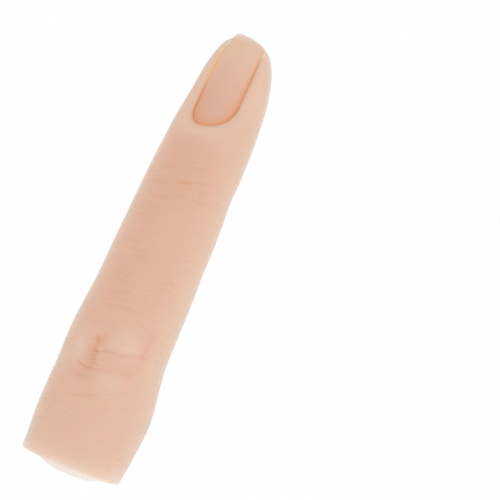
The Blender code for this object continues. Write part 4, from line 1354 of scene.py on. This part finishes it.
class FINGER_OT_nail(Operator):
    """Model the nail plate"""

    bl_idname = "finger.nail"
    bl_label = "Nail"

    def execute(self, context):
        piece = make_nail_plate(context.scene.finger_nail)
        nail_finish(context.scene.finger_colours).put_on(piece)
        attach(piece, "nail_insert")
        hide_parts("nail")
        return {"FINISHED"}


class FINGER_OT_plug(Operator):
    """Model the domed plug"""

    bl_idname = "finger.plug"
    bl_label = "Plug"

    def execute(self, context):
        piece = make_plug_dome(context.scene.finger_plug)
        plug_finish(context.scene.finger_colours).put_on(piece)
        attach(piece, "base_section")
        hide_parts("base_plug")
        return {"FINISHED"}


class FINGER_OT_skeleton(Operator):
    """Finish the cores, rivets, washers and nail bed, which keep the frame's own shapes"""

    bl_idname = "finger.skeleton"
    bl_label = "Skeleton"

    def execute(self, context):
        colours = context.scene.finger_colours
        bone = plain_finish("core_plastic", colours.bone, 0.45)
        steel = plain_finish("pin_steel", colours.steel, 0.25, 1.0)
        washer = plain_finish("washer_plastic", colours.washer, 0.5)
        bed = plain_finish("bed_rubber", colours.bed, 0.5)
        finishes = {"base_core": bone, "middle_core": bone, "tip_core": bone, "nail_bed": bed}
        for hinge in ("pip", "dip"):
            finishes[hinge + "_pin"] = steel
            finishes[hinge + "_washer_left"] = finishes[hinge + "_washer_right"] = washer
        for node, finish in finishes.items():
            finish.put_on(frame["nodes"][node])
        return {"FINISHED"}


class FINGER_OT_stage(Operator):
    """Set up the floor, the light and the camera"""

    bl_idname = "finger.stage"
    bl_label = "Stage"

    def execute(self, context):
        stage = context.scene.finger_stage
        self.make_floor(stage)
        self.make_world(context.scene, stage)
        self.make_lamp(context.scene, stage)
        self.make_camera(context.scene, stage)
        context.scene.view_settings.view_transform = "Standard"
        return {"FINISHED"}

    def make_floor(self, stage):
        bpy.ops.object.select_all(action="DESELECT")
        bpy.ops.mesh.primitive_plane_add(size=FLOOR_SIZE, location=(0, 0, -stage.floor_drop))
        floor = bpy.context.object
        floor.name = "floor"
        finish = Finish("floor_white", FLOOR_LOOK)
        glow = finish.node("ShaderNodeEmission", None, {"Strength": 1.0})
        lit = Field(finish, finish.shader.outputs[0])
        inputs = {0: finish.seen() * FLOOR_GLOW_SHARE, 1: lit, 2: glow}
        surface_look = finish.node("ShaderNodeMixShader", None, inputs)
        finish.link(surface_look, finish.tree.nodes["Material Output"].inputs["Surface"])
        finish.put_on(floor)

    def make_world(self, scene, stage):
        world = bpy.data.worlds.new("studio")
        world.use_nodes = True
        nodes = Nodes(world.node_tree)
        background = nodes.tree.nodes["Background"]
        background.inputs["Color"].default_value = (1, 1, 1, 1)
        inputs = {"Value": nodes.seen(), "To Min": stage.sky, "To Max": 1.0}
        strength = nodes.node("ShaderNodeMapRange", None, inputs)
        nodes.link(strength, background.inputs["Strength"])
        scene.world = world

    def make_lamp(self, scene, stage):
        data = bpy.data.lights.new("window", "SUN")
        data.energy = stage.lamp
        data.angle = LAMP_SPREAD
        lamp = bpy.data.objects.new("window", data)
        scene.collection.objects.link(lamp)
        lamp.rotation_euler = LAMP_FROM.to_track_quat("Z", "Y").to_euler()

    def make_camera(self, scene, stage):
        data = bpy.data.cameras.new("camera")
        data.lens = data.sensor_width * stage.distance / stage.view_width
        camera = bpy.data.objects.new("camera", data)
        scene.collection.objects.link(camera)
        away = Vector((
            math.sin(stage.roll) * math.cos(stage.tilt),
            math.sin(stage.tilt),
            math.cos(stage.roll) * math.cos(stage.tilt),
        ))
        ahead = (Vector((0, 1, 0)) - away * away.y).normalized()
        right = ahead.cross(away)
        up = ahead * math.cos(stage.lean) - right * math.sin(stage.lean)
        across = up.cross(away)
        pixel = stage.view_width / PICTURE_PIXELS
        aim = Vector((0, 0, FINGER_DEPTH / 2)) + (across * AIM_RIGHT + up * AIM_UP) * pixel
        turn = Matrix((across, up, away)).transposed().to_4x4()
        camera.matrix_world = Matrix.Translation(aim + away * stage.distance) @ turn
        scene.camera = camera


class FINGER_PT_panel(Panel):
    """Lists the pieces of the practice finger"""

    bl_idname = "FINGER_PT_panel"
    bl_label = "Practice finger"
    bl_space_type = "VIEW_3D"
    bl_region_type = "UI"
    bl_category = "Practice finger"

    def draw(self, context):
        for operator in OPERATORS:
            self.layout.operator(operator.bl_idname)


SETTINGS = {
    "finger_skin": SkinSettings,
    "finger_nail": NailSettings,
    "finger_plug": PlugSettings,
    "finger_colours": ColourSettings,
    "finger_stage": StageSettings,
}
OPERATORS = (
    FINGER_OT_stage,
    FINGER_OT_rear_skin,
    FINGER_OT_front_skin,
    FINGER_OT_nail,
    FINGER_OT_plug,
    FINGER_OT_skeleton,
)


def register():
    for name, group in SETTINGS.items():
        bpy.utils.register_class(group)
        setattr(bpy.types.Scene, name, PointerProperty(type=group))
    for operator in OPERATORS:
        bpy.utils.register_class(operator)
    bpy.utils.register_class(FINGER_PT_panel)


def unregister():
    bpy.utils.unregister_class(FINGER_PT_panel)
    for operator in reversed(OPERATORS):
        bpy.utils.unregister_class(operator)
    for name, group in SETTINGS.items():
        delattr(bpy.types.Scene, name)
        bpy.utils.unregister_class(group)


def main():
    register()
    bpy.ops.object.select_all(action="DESELECT")
    bpy.ops.finger.stage()
    bpy.ops.finger.rear_skin()
    bpy.ops.finger.front_skin()
    bpy.ops.finger.nail()
    bpy.ops.finger.plug()
    bpy.ops.finger.skeleton()


if __name__ == "__main__":
    main()
